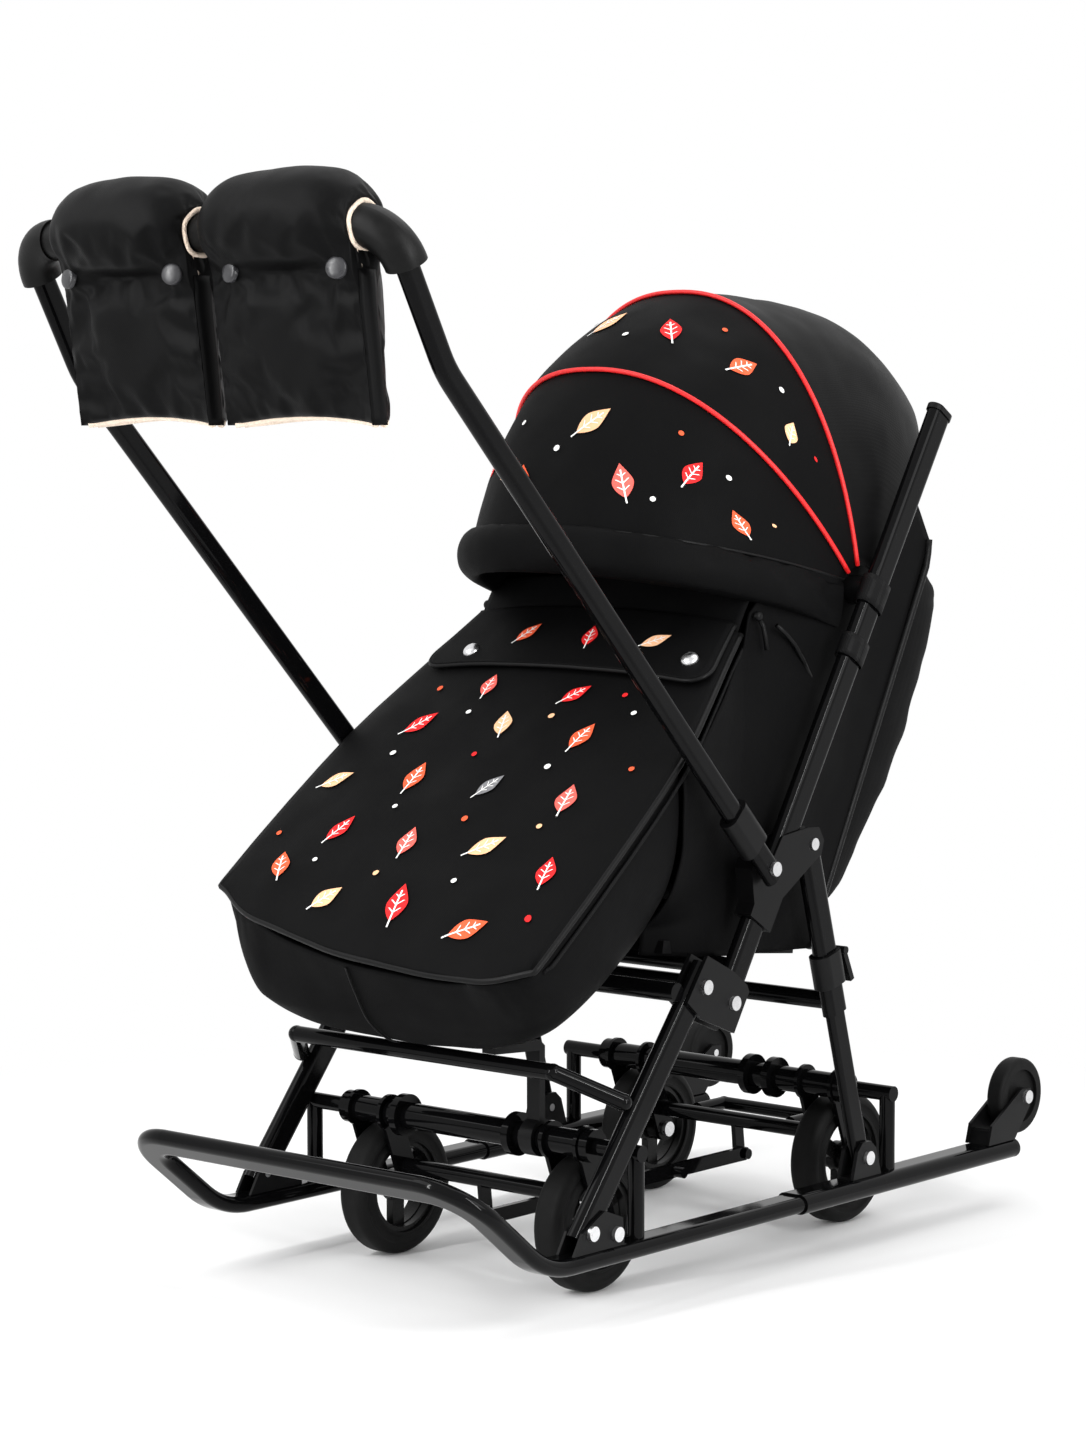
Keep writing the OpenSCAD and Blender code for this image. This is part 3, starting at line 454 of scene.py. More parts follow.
foot_edge = [cover_point(x, -3.0, 5) for x in np.linspace(136, -136, 40)]
right_edge = [cover_point(cover_half(s), s, 5) for s in cover_steps]
left_edge = [cover_point(-cover_half(s), s, 5) for s in cover_steps]
tube_mesh("leg_cover_piping", right_edge[::-1] + foot_edge + left_edge, 3.2, PIPING, UPPER)
for name, side in SIDES:
    zip_path = [cover_point(side * (cover_half(s) - 2), s, -10) for s in np.linspace(60, COVER_TOP, 60)]
    tube_mesh("leg_cover_zip_" + name, zip_path, 2.2, WEBBING, UPPER, 8)

# Flap over the upper end of the leg cover
FLAP_LOW, FLAP_HIGH = 384, 474
FLAP_SHIFT = 4
FLAP_LIFT, FLAP_BACK, FLAP_EDGE = 14.5, 9.2, 11.5
FLAP_CORNER = 26


def flap_rise(f, p):
    """How far the loose lower end of the flap stands off, f of the way up it."""
    return 2.2 * (1 - f) * (1 + 0.6 * ripple(p, 60, 5))


def flap_rows(lift, inset):
    """Rows of points of the flap, its lower corners rounded."""
    def point(f, u):
        s = FLAP_LOW + inset + (FLAP_HIGH - FLAP_LOW - inset) * f
        rise = min(1, (s - FLAP_LOW) / FLAP_CORNER)
        corner = FLAP_CORNER - FLAP_CORNER * math.sqrt(max(0, 1 - (1 - rise) ** 2))
        half = cover_half(min(s, COVER_TOP)) - 9 - corner - inset
        p = cover_point(u * half + FLAP_SHIFT, s, lift)
        p[1:] += COVER_UP * flap_rise(f, p)
        return p

    steps = np.concatenate([np.linspace(0, 0.12, 7), np.linspace(0.17, 1, 20)])
    return point_rows(steps, np.linspace(1, -1, 49), point)


flap = solid_mesh("cover_flap_cloth", flap_rows(FLAP_LIFT, 0), flap_rows(FLAP_BACK, 1.5), [BLACK_CLOTH],
                  UPPER)
edge_rows = flap_rows(FLAP_EDGE, 0)
flap_path = [row[0] for row in edge_rows[::-1]] + edge_rows[0][1:-1] + [row[-1] for row in edge_rows]
tube_mesh("cover_flap_piping", flap_path, 2.4, PIPING, UPPER)
for name, x, s in (("right", 155, 411), ("left", -118, 403)):
    dome_mesh("flap_snap_" + name, cover_point(x, s, 16.8), (0.0006 * x, *COVER_UP), 9, 4.5, STEEL,
              UPPER)

# Foot bag
BAG_LOW = np.array([[-390, 319], [-376, 292], [-360, 264], [-336, 244], [-305, 243], [-275, 250], [-240, 264],
                    [-205, 281], [-172, 300], [-150, 315]], float)
BAG_S = np.array([0, 2, 8, 22, 50, 90, 140, 190, 240, 285], float)
BAG_W = np.array([150, 166, 182, 200, 215, 218, 217, 214, 211, 208], float)
BAG_POWER = 2 / 3.2
BAG_LEAN = 12
BAG_MIDDLE = np.array([0, -250, 380])


def smooth_value(values, v):
    """Value of a smooth curve through equally spaced values at position v."""
    k = min(int(v), len(values) - 2)
    f = v - k
    p1, p2 = values[k], values[k + 1]
    p0 = values[k - 1] if k > 0 else 2 * p1 - p2
    p3 = values[k + 2] if k + 2 < len(values) else 2 * p2 - p1
    return 0.5 * (2 * p1 + (p2 - p0) * f + (2 * p0 - 5 * p1 + 4 * p2 - p3) * f * f
                  + (3 * p1 - p0 - 3 * p2 + p3) * f ** 3)


def bag_point(v, t, inset=0.0):
    """A point of the foot bag, v along it from the foot and t round it in degrees."""
    rim = COVER_FOOT + (smooth_value(BAG_S, v) + inset * (1 - v / 10)) * COVER_DIR
    low = smooth_value(BAG_LOW, v) + inset * np.array([0.8 if v < 3 else 0.0, 0.5 if v < 2 else 1.0])
    down = spow(math.sin(math.radians(t)), BAG_POWER)
    out = spow(math.cos(math.radians(t)), BAG_POWER)
    x = -(smooth_value(BAG_W, v) - inset) * out * (1 - 0.08 * math.sin(math.radians(t)))
    x += BAG_LEAN * down * (1 - v / 9)
    p = rim + (low - rim) * down
    slope, depth = np.dot(p - COVER_FOOT, COVER_DIR), -np.dot(p - COVER_FOOT, COVER_UP)
    p = p + COVER_DIR * foot_shift(x, slope) * max(0.0, 1 - depth / 70)
    return np.array([x, p[0], p[1]])


def bag_rows(inset):
    """Rows of points of the foot bag with soft creases."""
    def point(v, t):
        p = bag_point(v, t, inset)
        if inset == 0:
            crease = 2.2 * ripple(p, 90, 1) + 1.0 * ripple(p, 40, 7) - 0.8
            p = p + unit(p - BAG_MIDDLE) * math.sin(math.radians(t)) * crease
        return p

    return point_rows(np.linspace(0, 9, 64), np.linspace(0, 180, 73), point)


foot_bag = solid_mesh("foot_bag_cloth", bag_rows(0), bag_rows(5.0), [BLACK_CLOTH], UPPER)
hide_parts("foot_bag")
bag_seam = [bag_point(v, 85.5 + 1.3 * v) for v in np.linspace(0.1, 3.2, 24)]
tube_mesh("foot_bag_seam", [p + 0.8 * unit(p - BAG_MIDDLE) for p in bag_seam], 1.2, PIPING, UPPER, 6)

# Side panels
LOW_LINE = [[-149, 319, 172], [-60, 311, 178], [10, 308, 179], [74, 304, 178]]
TOP_LINE = [[-166, 497, 206], [-76, 567, 186], [-26, 606, 173], [-12, 640, 167], [20, 668, 165],
            [60, 670, 170], [100, 671, 174], [142, 684, 176], [172, 724, 177], [206, 758, 176],
            [246, 770, 174], [283, 706, 175]]
JOIN = 0.3


def along(line, f):
    """A point at a share f of the way along a line of points."""
    line = np.array(line, float)
    lengths = np.concatenate([[0], np.cumsum(np.linalg.norm(np.diff(line, axis=0), axis=1))])
    return np.array([np.interp(f * lengths[-1], lengths, line[:, k]) for k in range(3)])


def bag_side(g):
    """Half width of the foot bag's rear edge at a share g of its height."""
    down = (1 - g) ** (1 / BAG_POWER)
    return BAG_W[-1] * (1 - down * down) ** (BAG_POWER / 2) * (1 - 0.08 * down)


for name, side in SIDES:
    rows = []
    for f in np.linspace(0, 1, 72):
        low, top = along(LOW_LINE, f), along(TOP_LINE, f)
        join = max(0.0, 1 - f / JOIN) ** 2
        row = []
        for g in np.linspace(0, 1, 48):
            y, z, x = low + (top - low) * g
            x += (max(x - 30, bag_side(g)) - x) * join
            puffed = 7 * math.sin(math.pi * g) * math.sin(math.pi * min(1, 0.1 + f))
            p = np.array([side * (x + puffed), y, z])
            p[0] += side * (1 - f ** 8) * (2.4 * ripple(p, 80, 2) + 1.1 * ripple(p, 36, 4))
            row.append(p)
        rows.append(row)
    rows = rows if side > 0 else rows[::-1]
    panel = sheet_mesh("side_panel_cloth_" + name, rows, BLACK_CLOTH, UPPER, 2.5)
    if side > 0:
        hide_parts("side_panels")
    welt = [[side * 180, y, z] for y, z in ((19, 628), (34, 619), (48, 608), (62, 592), (76, 573))]
    tube_mesh("side_welt_" + name, welt, 2.4, PIPING, UPPER, 8)
    pull = [[side * 177, -4, 634], [side * 179, -2, 628], [side * 180, 0, 618], [side * 180, 3, 605]]
    tube_mesh("zip_pull_" + name, pull, 2.4, PLASTIC, UPPER, 8)
    dome_mesh("zip_slider_" + name, (side * 176, -5, 638), (side, 0, 0), 5, 3.5, PLASTIC, UPPER)

# Back panel and pocket
BACK_HALF = 175.6
BACK_LOW, BACK_TOP = 306, 690
REAR_END = math.radians(134.5)


def back_face(x, z):
    """Depth of the back at a point across it and at a height."""
    return float(np.interp(z, [300, 680, 700], [72, 276, 280])) + 16 * (1 - (x / BACK_HALF) ** 2)


def hood_edge(x):
    """Radius of the hood's rear edge at x from the middle plane."""
    return 303.5 * max(0.0, 1 - (abs(x) / 188) ** 2.3) ** (1 / 2.3)


def back_rows(lift):
    """Rows of points of the back panel, drawn in under the rear edge of the hood."""
    across = np.linspace(-BACK_HALF, BACK_HALF, 41)
    rows = [[np.array([x, back_face(x, z) + lift, z]) for x in across]
            for z in np.linspace(BACK_LOW, BACK_TOP, 26)]
    for f in np.linspace(0.1, 1, 12):
        row = []
        for x in across:
            low = np.array([back_face(x, BACK_TOP), BACK_TOP])
            high = HOOD + hood_edge(x) * np.array([-math.cos(REAR_END), math.sin(REAR_END)])
            p = low + f * (high - low)
            q = np.array([x, p[0] + lift, p[1]])
            slack = 4 * ripple(q, 60, 6) + 2 * ripple(q, 25, 8) - 10
            q[1] += (1 - (x / BACK_HALF) ** 8) * math.sin(math.pi * f) * slack
            row.append(q)
        rows.append(row)
    return rows


back_panel = solid_mesh("back_panel_cloth", back_rows(4), back_rows(0), [BLACK_CLOTH], UPPER)
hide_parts("back_panel")
for name, side in SIDES:
    corner = [[side * (BACK_HALF + 2), back_face(BACK_HALF, z) + 1, z] for z in np.linspace(304, 706, 30)]
    tube_mesh("back_corner_piping_" + name, corner, 4.5, PIPING, UPPER, 8)

POCKET_Z = np.array([336, 350, 378, 430, 487, 560, 615, 645, 668, 682], float)
POCKET_SHARE = np.array([0.05, 0.46, 0.66, 0.86, 1, 0.96, 0.82, 0.7, 0.4, 0.05])
POCKET_HALF = 168
POCKET_DEPTH = 112
POCKET_SIDE = 0.64
ZIP_ROW = 37


def pocket_rows(full):
    """Rows of points of the back pocket's outer or inner face."""
    def point(v, u):
        z = smooth_value(POCKET_Z, v)
        share = smooth_value(POCKET_SHARE, v)
        x = u * POCKET_HALF
        y = back_face(x, z) + 4.6
        if full:
            y += 1 + POCKET_DEPTH * share * (POCKET_SIDE + (1 - POCKET_SIDE) * math.sqrt(1 - u ** 4))
            x *= 0.96 + 0.04 * (1 - abs(u))
            p = np.array([x, y, z])
            y += min(1, share * 2) * (3.0 * ripple(p, 80, 12) + 1.4 * ripple(p, 34, 13) - 2.5)
        return np.array([x, y, z])

    return point_rows(np.linspace(0, 9, 46), np.linspace(-1, 1, 47), point)


pocket_full = pocket_rows(True)
pocket = solid_mesh("back_pocket_cloth", pocket_full, pocket_rows(False), [BLACK_CLOTH], UPPER)
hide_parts("back_pocket")
pocket_count = len(pocket_full) * len(pocket_full[0])
pocket_held = grid_rim(len(pocket_full), len(pocket_full[0])) + list(range(pocket_count, 2 * pocket_count))
puff(pocket, pocket_held, 2, 0.03, 5)
zip_line = [p + np.array([0, 2.5, 0]) for p in pocket_full[ZIP_ROW][2:-2]]
tube_mesh("back_pocket_zip", zip_line, 2.4, WEBBING, UPPER, 8)

# Hood
HOOD_T = np.radians(np.linspace(-86.8, 86.8, 97))


def hood_point(theta, t, r, a):
    """A point of the hood at an angle from the front and round its arch."""
    x = a * spow(math.sin(t), HOOD_POWER)
    rad = r * spow(math.cos(t), HOOD_POWER)
    return np.array([x, HOOD[0] - rad * math.cos(theta), HOOD[1] + rad * math.sin(theta)])


def hood_out(p):
    """The way out from the hood's pivot line at a point."""
    return unit([p[0] * 0.7, p[1] - HOOD[0], p[2] - HOOD[1]])


class HoodSection:
    """A hood section of stretched cloth with soft creases."""

    def __init__(self, node, body, span, radii, halves, sag, seed, fuller=((0, 0),)):
        self.node, self.body, self.span, self.radii, self.halves = node, body, span, radii, halves
        self.sag, self.seed, self.fuller = sag, seed, np.array(fuller, float)

    def point(self, theta, t, lift=0.0):
        """A point on the section's face at an angle in degrees."""
        f = min(1.0, max(0.0, (theta - self.span[0]) / (self.span[1] - self.span[0])))
        bow = math.sin(math.pi * f)
        r = self.radii[0] + (self.radii[1] - self.radii[0]) * f
        r += (np.interp(theta, self.fuller[:, 0], self.fuller[:, 1]) - self.sag * bow) * math.cos(t) ** 0.5
        a = self.halves[0] + (self.halves[1] - self.halves[0]) * f
        p = hood_point(math.radians(theta), t, r, a)
        crease = 1.5 * ripple(p, 70, self.seed) + 0.8 * ripple(p, 30, self.seed + 3)
        return p + hood_out(p) * (crease * max(0.0, bow) ** 0.5 + lift)

    def build(self, mat):
        """The section's sheet of cloth."""
        rows = point_rows(np.linspace(*self.span, 40), HOOD_T, self.point)
        obj = sheet_mesh(self.node + "_cloth", rows, mat, self.body, 2.5, 1)
        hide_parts(self.node)

    def place(self, x, y, lift):
        """A point on the outside, x along the arch and y up the slope from the lower edge, in mm."""
        t = math.copysign(float(np.interp(abs(x), ARCH_LEN, ARCH_T)), x)
        theta = self.span[0] + math.degrees(y / (0.5 * (self.radii[0] + self.radii[1])))
        return self.point(theta, t, 3.3 + lift)


ARCH_T = np.radians(np.linspace(0, 86, 200))
ARCH = np.array([hood_point(math.pi / 2, t, 290, 186) for t in ARCH_T])
ARCH_LEN = np.concatenate([[0], np.cumsum(np.linalg.norm(np.diff(ARCH, axis=0), axis=1))])
hood_front = HoodSection("hood_front", "hood_front_body", (11, 48.9), (287, 288), (184, 184), 5, 21)
hood_mid = HoodSection("hood_mid", "hood_mid_body", (48.3, 79.6), (291, 300), (187, 188), 4, 25)
hood_rear = HoodSection("hood_rear", UPPER, (79.0, 136), (303, 308), (190, 192), 2, 29,
                        ((79, 0), (86, -6), (97, -8), (106, -3), (115, 4), (126, 7), (136, 5)))
hood_front.build(BLACK_CLOTH)
hood_mid.build(BLACK_CLOTH)
hood_rear.build(SHINY_CLOTH)


def hood_seam(name, theta, r, a, radius, mat, body):
    """A piped seam round the hood."""
    tube_mesh(name, [hood_point(math.radians(theta), t, r, a) for t in HOOD_T], radius, mat, body)


hood_seam("hood_piping_front", 48.6, 292.5, 188.5, 2.4, RED_PIPING, "hood_mid_body")
hood_seam("hood_piping_rear", 79.4, 304.5, 191.5, 2.4, RED_PIPING, UPPER)
hood_seam("hood_rear_binding", 136, 310, 192, 3.5, PIPING, UPPER)

# Visor: a padded band along the front edge of the hood
VISOR_TURN = math.radians(8.5)
VISOR_R, VISOR_A = 285, 183
VISOR_STEPS = 33
VISOR_HALF = 24
VISOR_SWELL = 17
VISOR_DROP = 20
visor_up = np.array([0, math.sin(VISOR_TURN), math.cos(VISOR_TURN)])


def visor_point(around, t):
    """A point round the visor's section and round the hood's arch."""
    p = hood_point(VISOR_TURN, t, VISOR_R, VISOR_A)
    thick = VISOR_SWELL * max(0.3, min(1.0, 3 * math.cos(t)))
    p = p + visor_up * VISOR_HALF * math.cos(around) + hood_out(p) * thick * math.sin(around)
    p[2] -= VISOR_DROP * (1 - math.cos(t) ** 0.6)
    crease = 1.6 * ripple(p, 45, 31) + 0.8 * ripple(p, 20, 33)
    return p + hood_out(p) * crease * max(0, math.sin(around))


visor_rows = point_rows(np.linspace(2 * math.pi, 0, VISOR_STEPS), HOOD_T, visor_point)
visor = sheet_mesh("hood_visor_cloth", visor_rows, BLACK_CLOTH, "hood_front_body")
visor_width = len(HOOD_T)
visor_ends = (0, 1, visor_width - 2, visor_width - 1)
visor_last = (VISOR_STEPS - 1) * visor_width
visor_held = [k * visor_width + j for k in range(VISOR_STEPS) for j in visor_ends]
visor_held += list(range(visor_width)) + list(range(visor_last, visor_last + visor_width))
puff(visor, visor_held, 3, 0.03, 5)
visor_seam = [p + hood_out(p) * 1.5 for p in visor_rows[-2]]
tube_mesh("hood_visor_seam", visor_seam, 1.6, PIPING, "hood_front_body")

# Flap that stands up at the upper end of the leg cover
WIND_HALF, WIND_BACK, WIND_HIGH = 166, 24, 40


def wind_point(g, u):
    """A point of the flap, g of the way up it and u across it."""
    p = cover_point(u * WIND_HALF, COVER_TOP, 4) + np.array([0, 4 + WIND_BACK * g, WIND_HIGH * g])
    p[1] += 3 * ripple(p, 40, 41) * g
    return p


wind_rows = point_rows(np.linspace(0, 1, 14), np.linspace(1, -1, 49), wind_point)
wind_flap = sheet_mesh("wind_flap_cloth", wind_rows, BLACK_CLOTH, UPPER, 2)
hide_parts("wind_flap")

# Seat pad and backrest, stitched in channels
PAD_HALF = 158
PAD_DEPTH = 24


def pad_rows(line, depth, channels, normal, flip):
    """Rows of points of a stitched pad along a line: its face, or its flat back with no depth."""
    def point(v, u):
        lift = 0.0
        if depth:
            dome = math.sqrt(max(0, 1 - abs(u) ** 4)) * math.sqrt(max(0, 1 - abs(2 * v - 1) ** 6))
            groove = math.exp(-((((v * channels) % 1) - 0.5) / 0.07) ** 2)
            lift = 4 + dome * (depth - 6 * groove)
        p = line[0] + (line[1] - line[0]) * v + normal * lift
        return np.array([u * PAD_HALF, p[0], p[1]])

    return point_rows(np.linspace(0, 1, 48), np.linspace(-1, 1, 37) * flip, point)


def stitched_pad(node, line, channels, normal, flip, body):
    """A padded cushion with sewn channels, blown up between its stitches."""
    face = pad_rows(line, PAD_DEPTH, channels, normal, flip)
    back = pad_rows(line, 0, channels, normal, flip)
    obj = solid_mesh(node + "_cloth", face, back, [PAD_CLOTH], body)
    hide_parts(node)
    n, m = len(face), len(face[0])
    sewn = [i for i in range(n) if abs((i / (n - 1) * channels) % 1 - 0.5) < 0.08]
    held = grid_rim(n, m) + list(range(n * m, 2 * n * m)) + [i * m + j for i in sewn for j in range(m)]
    puff(obj, held, 3, 0.03, 6)


BACK_LEAN = math.radians(28.2)
BACK_UP = np.array([math.sin(BACK_LEAN), math.cos(BACK_LEAN)])
BACK_OUT = np.array([-BACK_UP[1], BACK_UP[0]])
REST_LOW = np.array([90, 334.0])
REST_LONG = 390
SEAT_CHANNELS, REST_CHANNELS = 4, 6
seat_line = np.array([[-132, 332.4], [56, 312.1]])
rest_line = np.array([REST_LOW, REST_LOW + REST_LONG * BACK_UP])
stitched_pad("seat_pad", seat_line, SEAT_CHANNELS, np.array([0.1076, 0.9942]), 1, UPPER)
stitched_pad("backrest", rest_line, REST_CHANNELS, BACK_OUT, -1, "backrest_body")


# Harness
def strap_mesh(name, path, width, body):
    """A flat strap across X along a path of points in mm."""
    reach = np.array([width / 2, 0, 0])
    rows = [[np.array(p, float) - reach, np.array(p, float) + reach] for p in path]
    strap = sheet_mesh(name, rows, WEBBING, body, 2)
    length = sum(np.linalg.norm(np.subtract(b, a)) for a, b in zip(path, path[1:]))


STRAP_WIDTH = 28
for name, side in SIDES:
    points = []
    for f in np.linspace(0.12, 0.72, 24):
        lift = 35 - 4 * abs(math.sin(math.pi * REST_CHANNELS * f))
        p = REST_LOW + REST_LONG * f * BACK_UP + BACK_OUT * lift
        points.append([side * (45 + 10 * f), p[0], p[1]])
    strap_mesh("harness_strap_" + name, points, STRAP_WIDTH, "backrest_body")
crotch_strap = [[0, y, 367 - 0.108 * (y + 132)] for y in np.linspace(-95, -25, 12)]
strap_mesh("harness_crotch_strap", crotch_strap, STRAP_WIDTH, UPPER)

# Hand muffs
MUFF_R = 48
MUFF_HUG = 17.4
MUFF_PAD = 8
MUFF_FILL = 13
MUFF_HEM = -168
MUFF_END_SHIFT = 16
HEM_BOW = 7
GROOVE_H = -36
GROOVE_Y = -22
MUFF_PLACES = (("right", 110, 87, (-52, 76)), ("left", -84, 83, (-64, 71)))
PANEL_H = np.concatenate([np.linspace(MUFF_HEM, -72, 17), [-65, -58, -52, -47, -43, -40]])
ROLL_START = 222
CUFF_TURNS = [ROLL_START, 275, 320, 365]
CUFF_Y = [-8, 15, 14, 24]
CUFF_Z = [-38, -38, -24, 0]


def muff_front(h):
    """Depth of a muff's front face at a height below the bar."""
    return float(np.interp(h, [MUFF_HEM, -110, -64, -40], [14, 0, -11, -13]))


def muff_rear(h):
    """Depth of a muff's rear face at a height below the bar."""
    return float(np.interp(h, [MUFF_HEM, -110, -48, -24], [54, 54, 51, 47]))


def muff_face(u, h, way, out):
    """A point [Y, Z] of a muff's front or rear panel, with its hem bowed up."""
    low, high = muff_front(h), muff_rear(h)
    full = ((high - low) / 2 - MUFF_PAD) * (1 - 0.85 * abs(u) ** 6) + MUFF_PAD
    if not out:
        full = max(1.5, full - MUFF_FILL)
    bow = HEM_BOW * (1 - u * u) * max(0.0, (-60 - h) / 108)
    return np.array([(low + high) / 2 - MUFF_END_SHIFT * abs(u) ** 6 + way * full, h + bow])


def muff_strip(u, out):
    """Points of a muff's section from the front hem over the grip to the rear hem."""
    roll = MUFF_HUG + ((MUFF_R - MUFF_HUG) * (1 - 0.78 * abs(u) ** 4) if out else 0)
    strip = [muff_face(u, h, -1, out) for h in PANEL_H]
    strip.append(muff_face(u, GROOVE_H, -1, out))
    for angle in np.radians(np.linspace(ROLL_START, 0, 37)):
        strip.append(roll * np.array([math.cos(angle), math.sin(angle)]))
    return strip + [muff_face(u, h, 1, out) for h in [-24, -34, *PANEL_H[::-1]]]


def snap_pull(x, z, snaps):
    """How far a point of a muff's front is drawn in to the nearest snap."""
    return max(math.exp(-(((x - snap) ** 2 + (z - GROOVE_H) ** 2) / 14 ** 2)) for snap in snaps)


def muff_crease(x, z, snaps):
    """Creases that run out from the snaps."""
    total = 0.0
    for k, snap in enumerate(snaps):
        far = math.hypot(x - snap, z - GROOVE_H)
        turn = math.atan2(z - GROOVE_H, x - snap)
        total += 3.0 * math.exp(-far / 34) * min(1, far / 12) * math.cos(7 * turn + 1.3 * k)
    return total


def muff_rows(centre, half, snaps, out):
    """Rows of points of a muff across the bar, and the grid places drawn in by the snaps."""
    rows, drawn = [], []
    for i, u in enumerate(np.sin(np.linspace(-math.pi / 2, math.pi / 2, 53))):
        row = []
        for j, (y, z) in enumerate(muff_strip(u, out)):
            p = np.array([centre + u * half, BAR[0] + y, BAR[1] + z])
            if out:
                away = unit([0, y - 20, max(z, 0)]) if z < 0 else unit([0, y, z])
                soft = 1.6 * ripple(p, 46, 51) + 0.8 * ripple(p, 22, 55)
                if y < 15:
                    soft += muff_crease(u * half, z, snaps)
                p = p + away * soft * (1 - abs(u) ** 10)
                pull = snap_pull(u * half, z, snaps) if y < 15 else 0
                p[1] += (BAR[0] + GROOVE_Y - p[1]) * pull
                if pull > 0.5:
                    drawn.append((i, j))
            row.append(p)
        rows.append(row)
    return rows, drawn


def muff_cuff(centre, half, way):
    """Rows of points that close a muff's end below the bar."""
    def point(turn, f):
        a = math.radians(turn)
        near = (MUFF_HUG + 0.6) * np.array([math.cos(a), math.sin(a)])
        far = np.array([np.interp(turn, CUFF_TURNS, CUFF_Y), np.interp(turn, CUFF_TURNS, CUFF_Z)])
        y, z = near + (far - near) * f
        x = centre + way * (half - 1 + 2 * math.sin(math.pi * f) + 0.8 * math.sin(9 * a))
        return np.array([x, BAR[0] + y, BAR[1] + z])

    return point_rows(np.linspace(CUFF_TURNS[0], CUFF_TURNS[-1], 16), np.linspace(0, 1, 5), point)


def muff_gusset(centre, half, way):
    """Rows of points that close a muff's side from the groove to the hem."""
    def point(h, f):
        front, rear = muff_face(way, h, -1, True), muff_face(way, h, 1, True)
        y, z = front + (rear - front) * f
        x = centre + way * (half + 3 * math.sin(math.pi * f) - 1.5)
        return np.array([x, BAR[0] + y, BAR[1] + z])

    return point_rows(np.linspace(GROOVE_H - 1, MUFF_HEM, 20), np.linspace(0.05, 0.95, 7), point)


for name, centre, half, snaps in MUFF_PLACES:
    body = "muff_%s_body" % name
    outer, drawn = muff_rows(centre, half, snaps, True)
    inner, _ = muff_rows(centre, half, snaps, False)
    muff = solid_mesh("muff_cloth_" + name, outer, inner, [SHINY_CLOTH, FLEECE], body, inner_slot=1)
    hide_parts("muff_" + name)
    n, m = len(outer), len(outer[0])
    groove = len(PANEL_H)
    held = grid_rim(n, m) + list(range(n * m, 2 * n * m))
    held += [i * m + groove for i in range(n)]
    held += [i * m + j for i, j in drawn]
    puff(muff, held, 2.5, 0.05, 8)
    for place, snap, lean in zip(("in", "out"), snaps, (-0.2, 0.4)):
        spot = np.array([centre + snap, BAR[0] + GROOVE_Y - 2, BAR[1] + GROOVE_H])
        dome_mesh("muff_snap_%s_%s" % (name, place), spot, (lean, -1, 0.12), 9.5, 2.2, DARK_SNAP, body,
                  4)
    for place, way in (("front", -1), ("rear", 1)):
        hem = []
        for u in np.linspace(-0.97, 0.97, 41):
            y, z = muff_face(u, MUFF_HEM, way, False)
            hem.append([centre + u * half, BAR[0] + y + way * 4, BAR[1] + z + 1.5])
        tube_mesh("muff_fleece_%s_%s" % (name, place), hem, 4.2, FLEECE, body)
    for place, way in (("in", -1), ("out", 1)):
        ring = []
        for a in np.linspace(0, 2 * math.pi, 40, endpoint=False):
            r = MUFF_HUG + 2.6 + 0.6 * math.sin(5 * a)
            ring.append([centre + way * half, BAR[0] + r * math.cos(a), BAR[1] + r * math.sin(a)])
        tube_mesh("muff_ring_%s_%s" % (name, place), ring, 2.4, FLEECE, body, closed=True)
        for part, rows in (("side", muff_gusset(centre, half, way)), ("cuff", muff_cuff(centre, half, way))):
            rows = rows if way > 0 else [row[::-1] for row in rows]
            end_cloth = sheet_mesh("muff_%s_%s_%s" % (part, name, place), rows, SHINY_CLOTH, body, 1.5)


# Straps round the posts
BAND_HALVES = (9.3, 16.9)
BAND_ROUND = 0.8


def post_band(name, s, side, long):
    """A cloth band round a post."""
    def point(f, a):
        y, z = post_point(s + long * (f - 0.5), BAND_HALVES[1] * spow(math.sin(a), BAND_ROUND))
        return np.array([side * RUNNER_X + BAND_HALVES[0] * spow(math.cos(a), BAND_ROUND), y, z])

    rows = point_rows(np.linspace(0, 1, 5), np.linspace(0, 2 * math.pi, 33), point)
    band = sheet_mesh(name, rows, WEBBING, UPPER, 1.5)


for name, side in SIDES:
    post_band("post_band_high_" + name, 450, side, 30)
    post_band("post_band_low_" + name, 386, side, 24)

# Print: leaves and dots in warm colours on the hood and the leg cover
PRINT_COLOURS = {
    "red": ((0.72, 0.012, 0.016), (0.84, 0.022, 0.022)),
    "coral": ((0.78, 0.09, 0.03), (0.88, 0.13, 0.05)),
    "pink": ((0.8, 0.1, 0.08), (0.9, 0.15, 0.12)),
    "peach": ((0.86, 0.46, 0.24), (0.95, 0.56, 0.33)),
    "grey": ((0.16, 0.16, 0.17), (0.24, 0.24, 0.25)),
    "white": ((0.82, 0.82, 0.8), (0.92, 0.92, 0.9)),
}
PRINT_NAMES = list(PRINT_COLOURS)
INK_LIFT, VEIN_LIFT = 0.5, 0.9
PRINT_MATERIALS = [surface("print_" + key, pair[0], pair[1], (0.6, 0.75), (0.2, 0.0002), 150, gloss=0.2)
                   for key, pair in PRINT_COLOURS.items()]


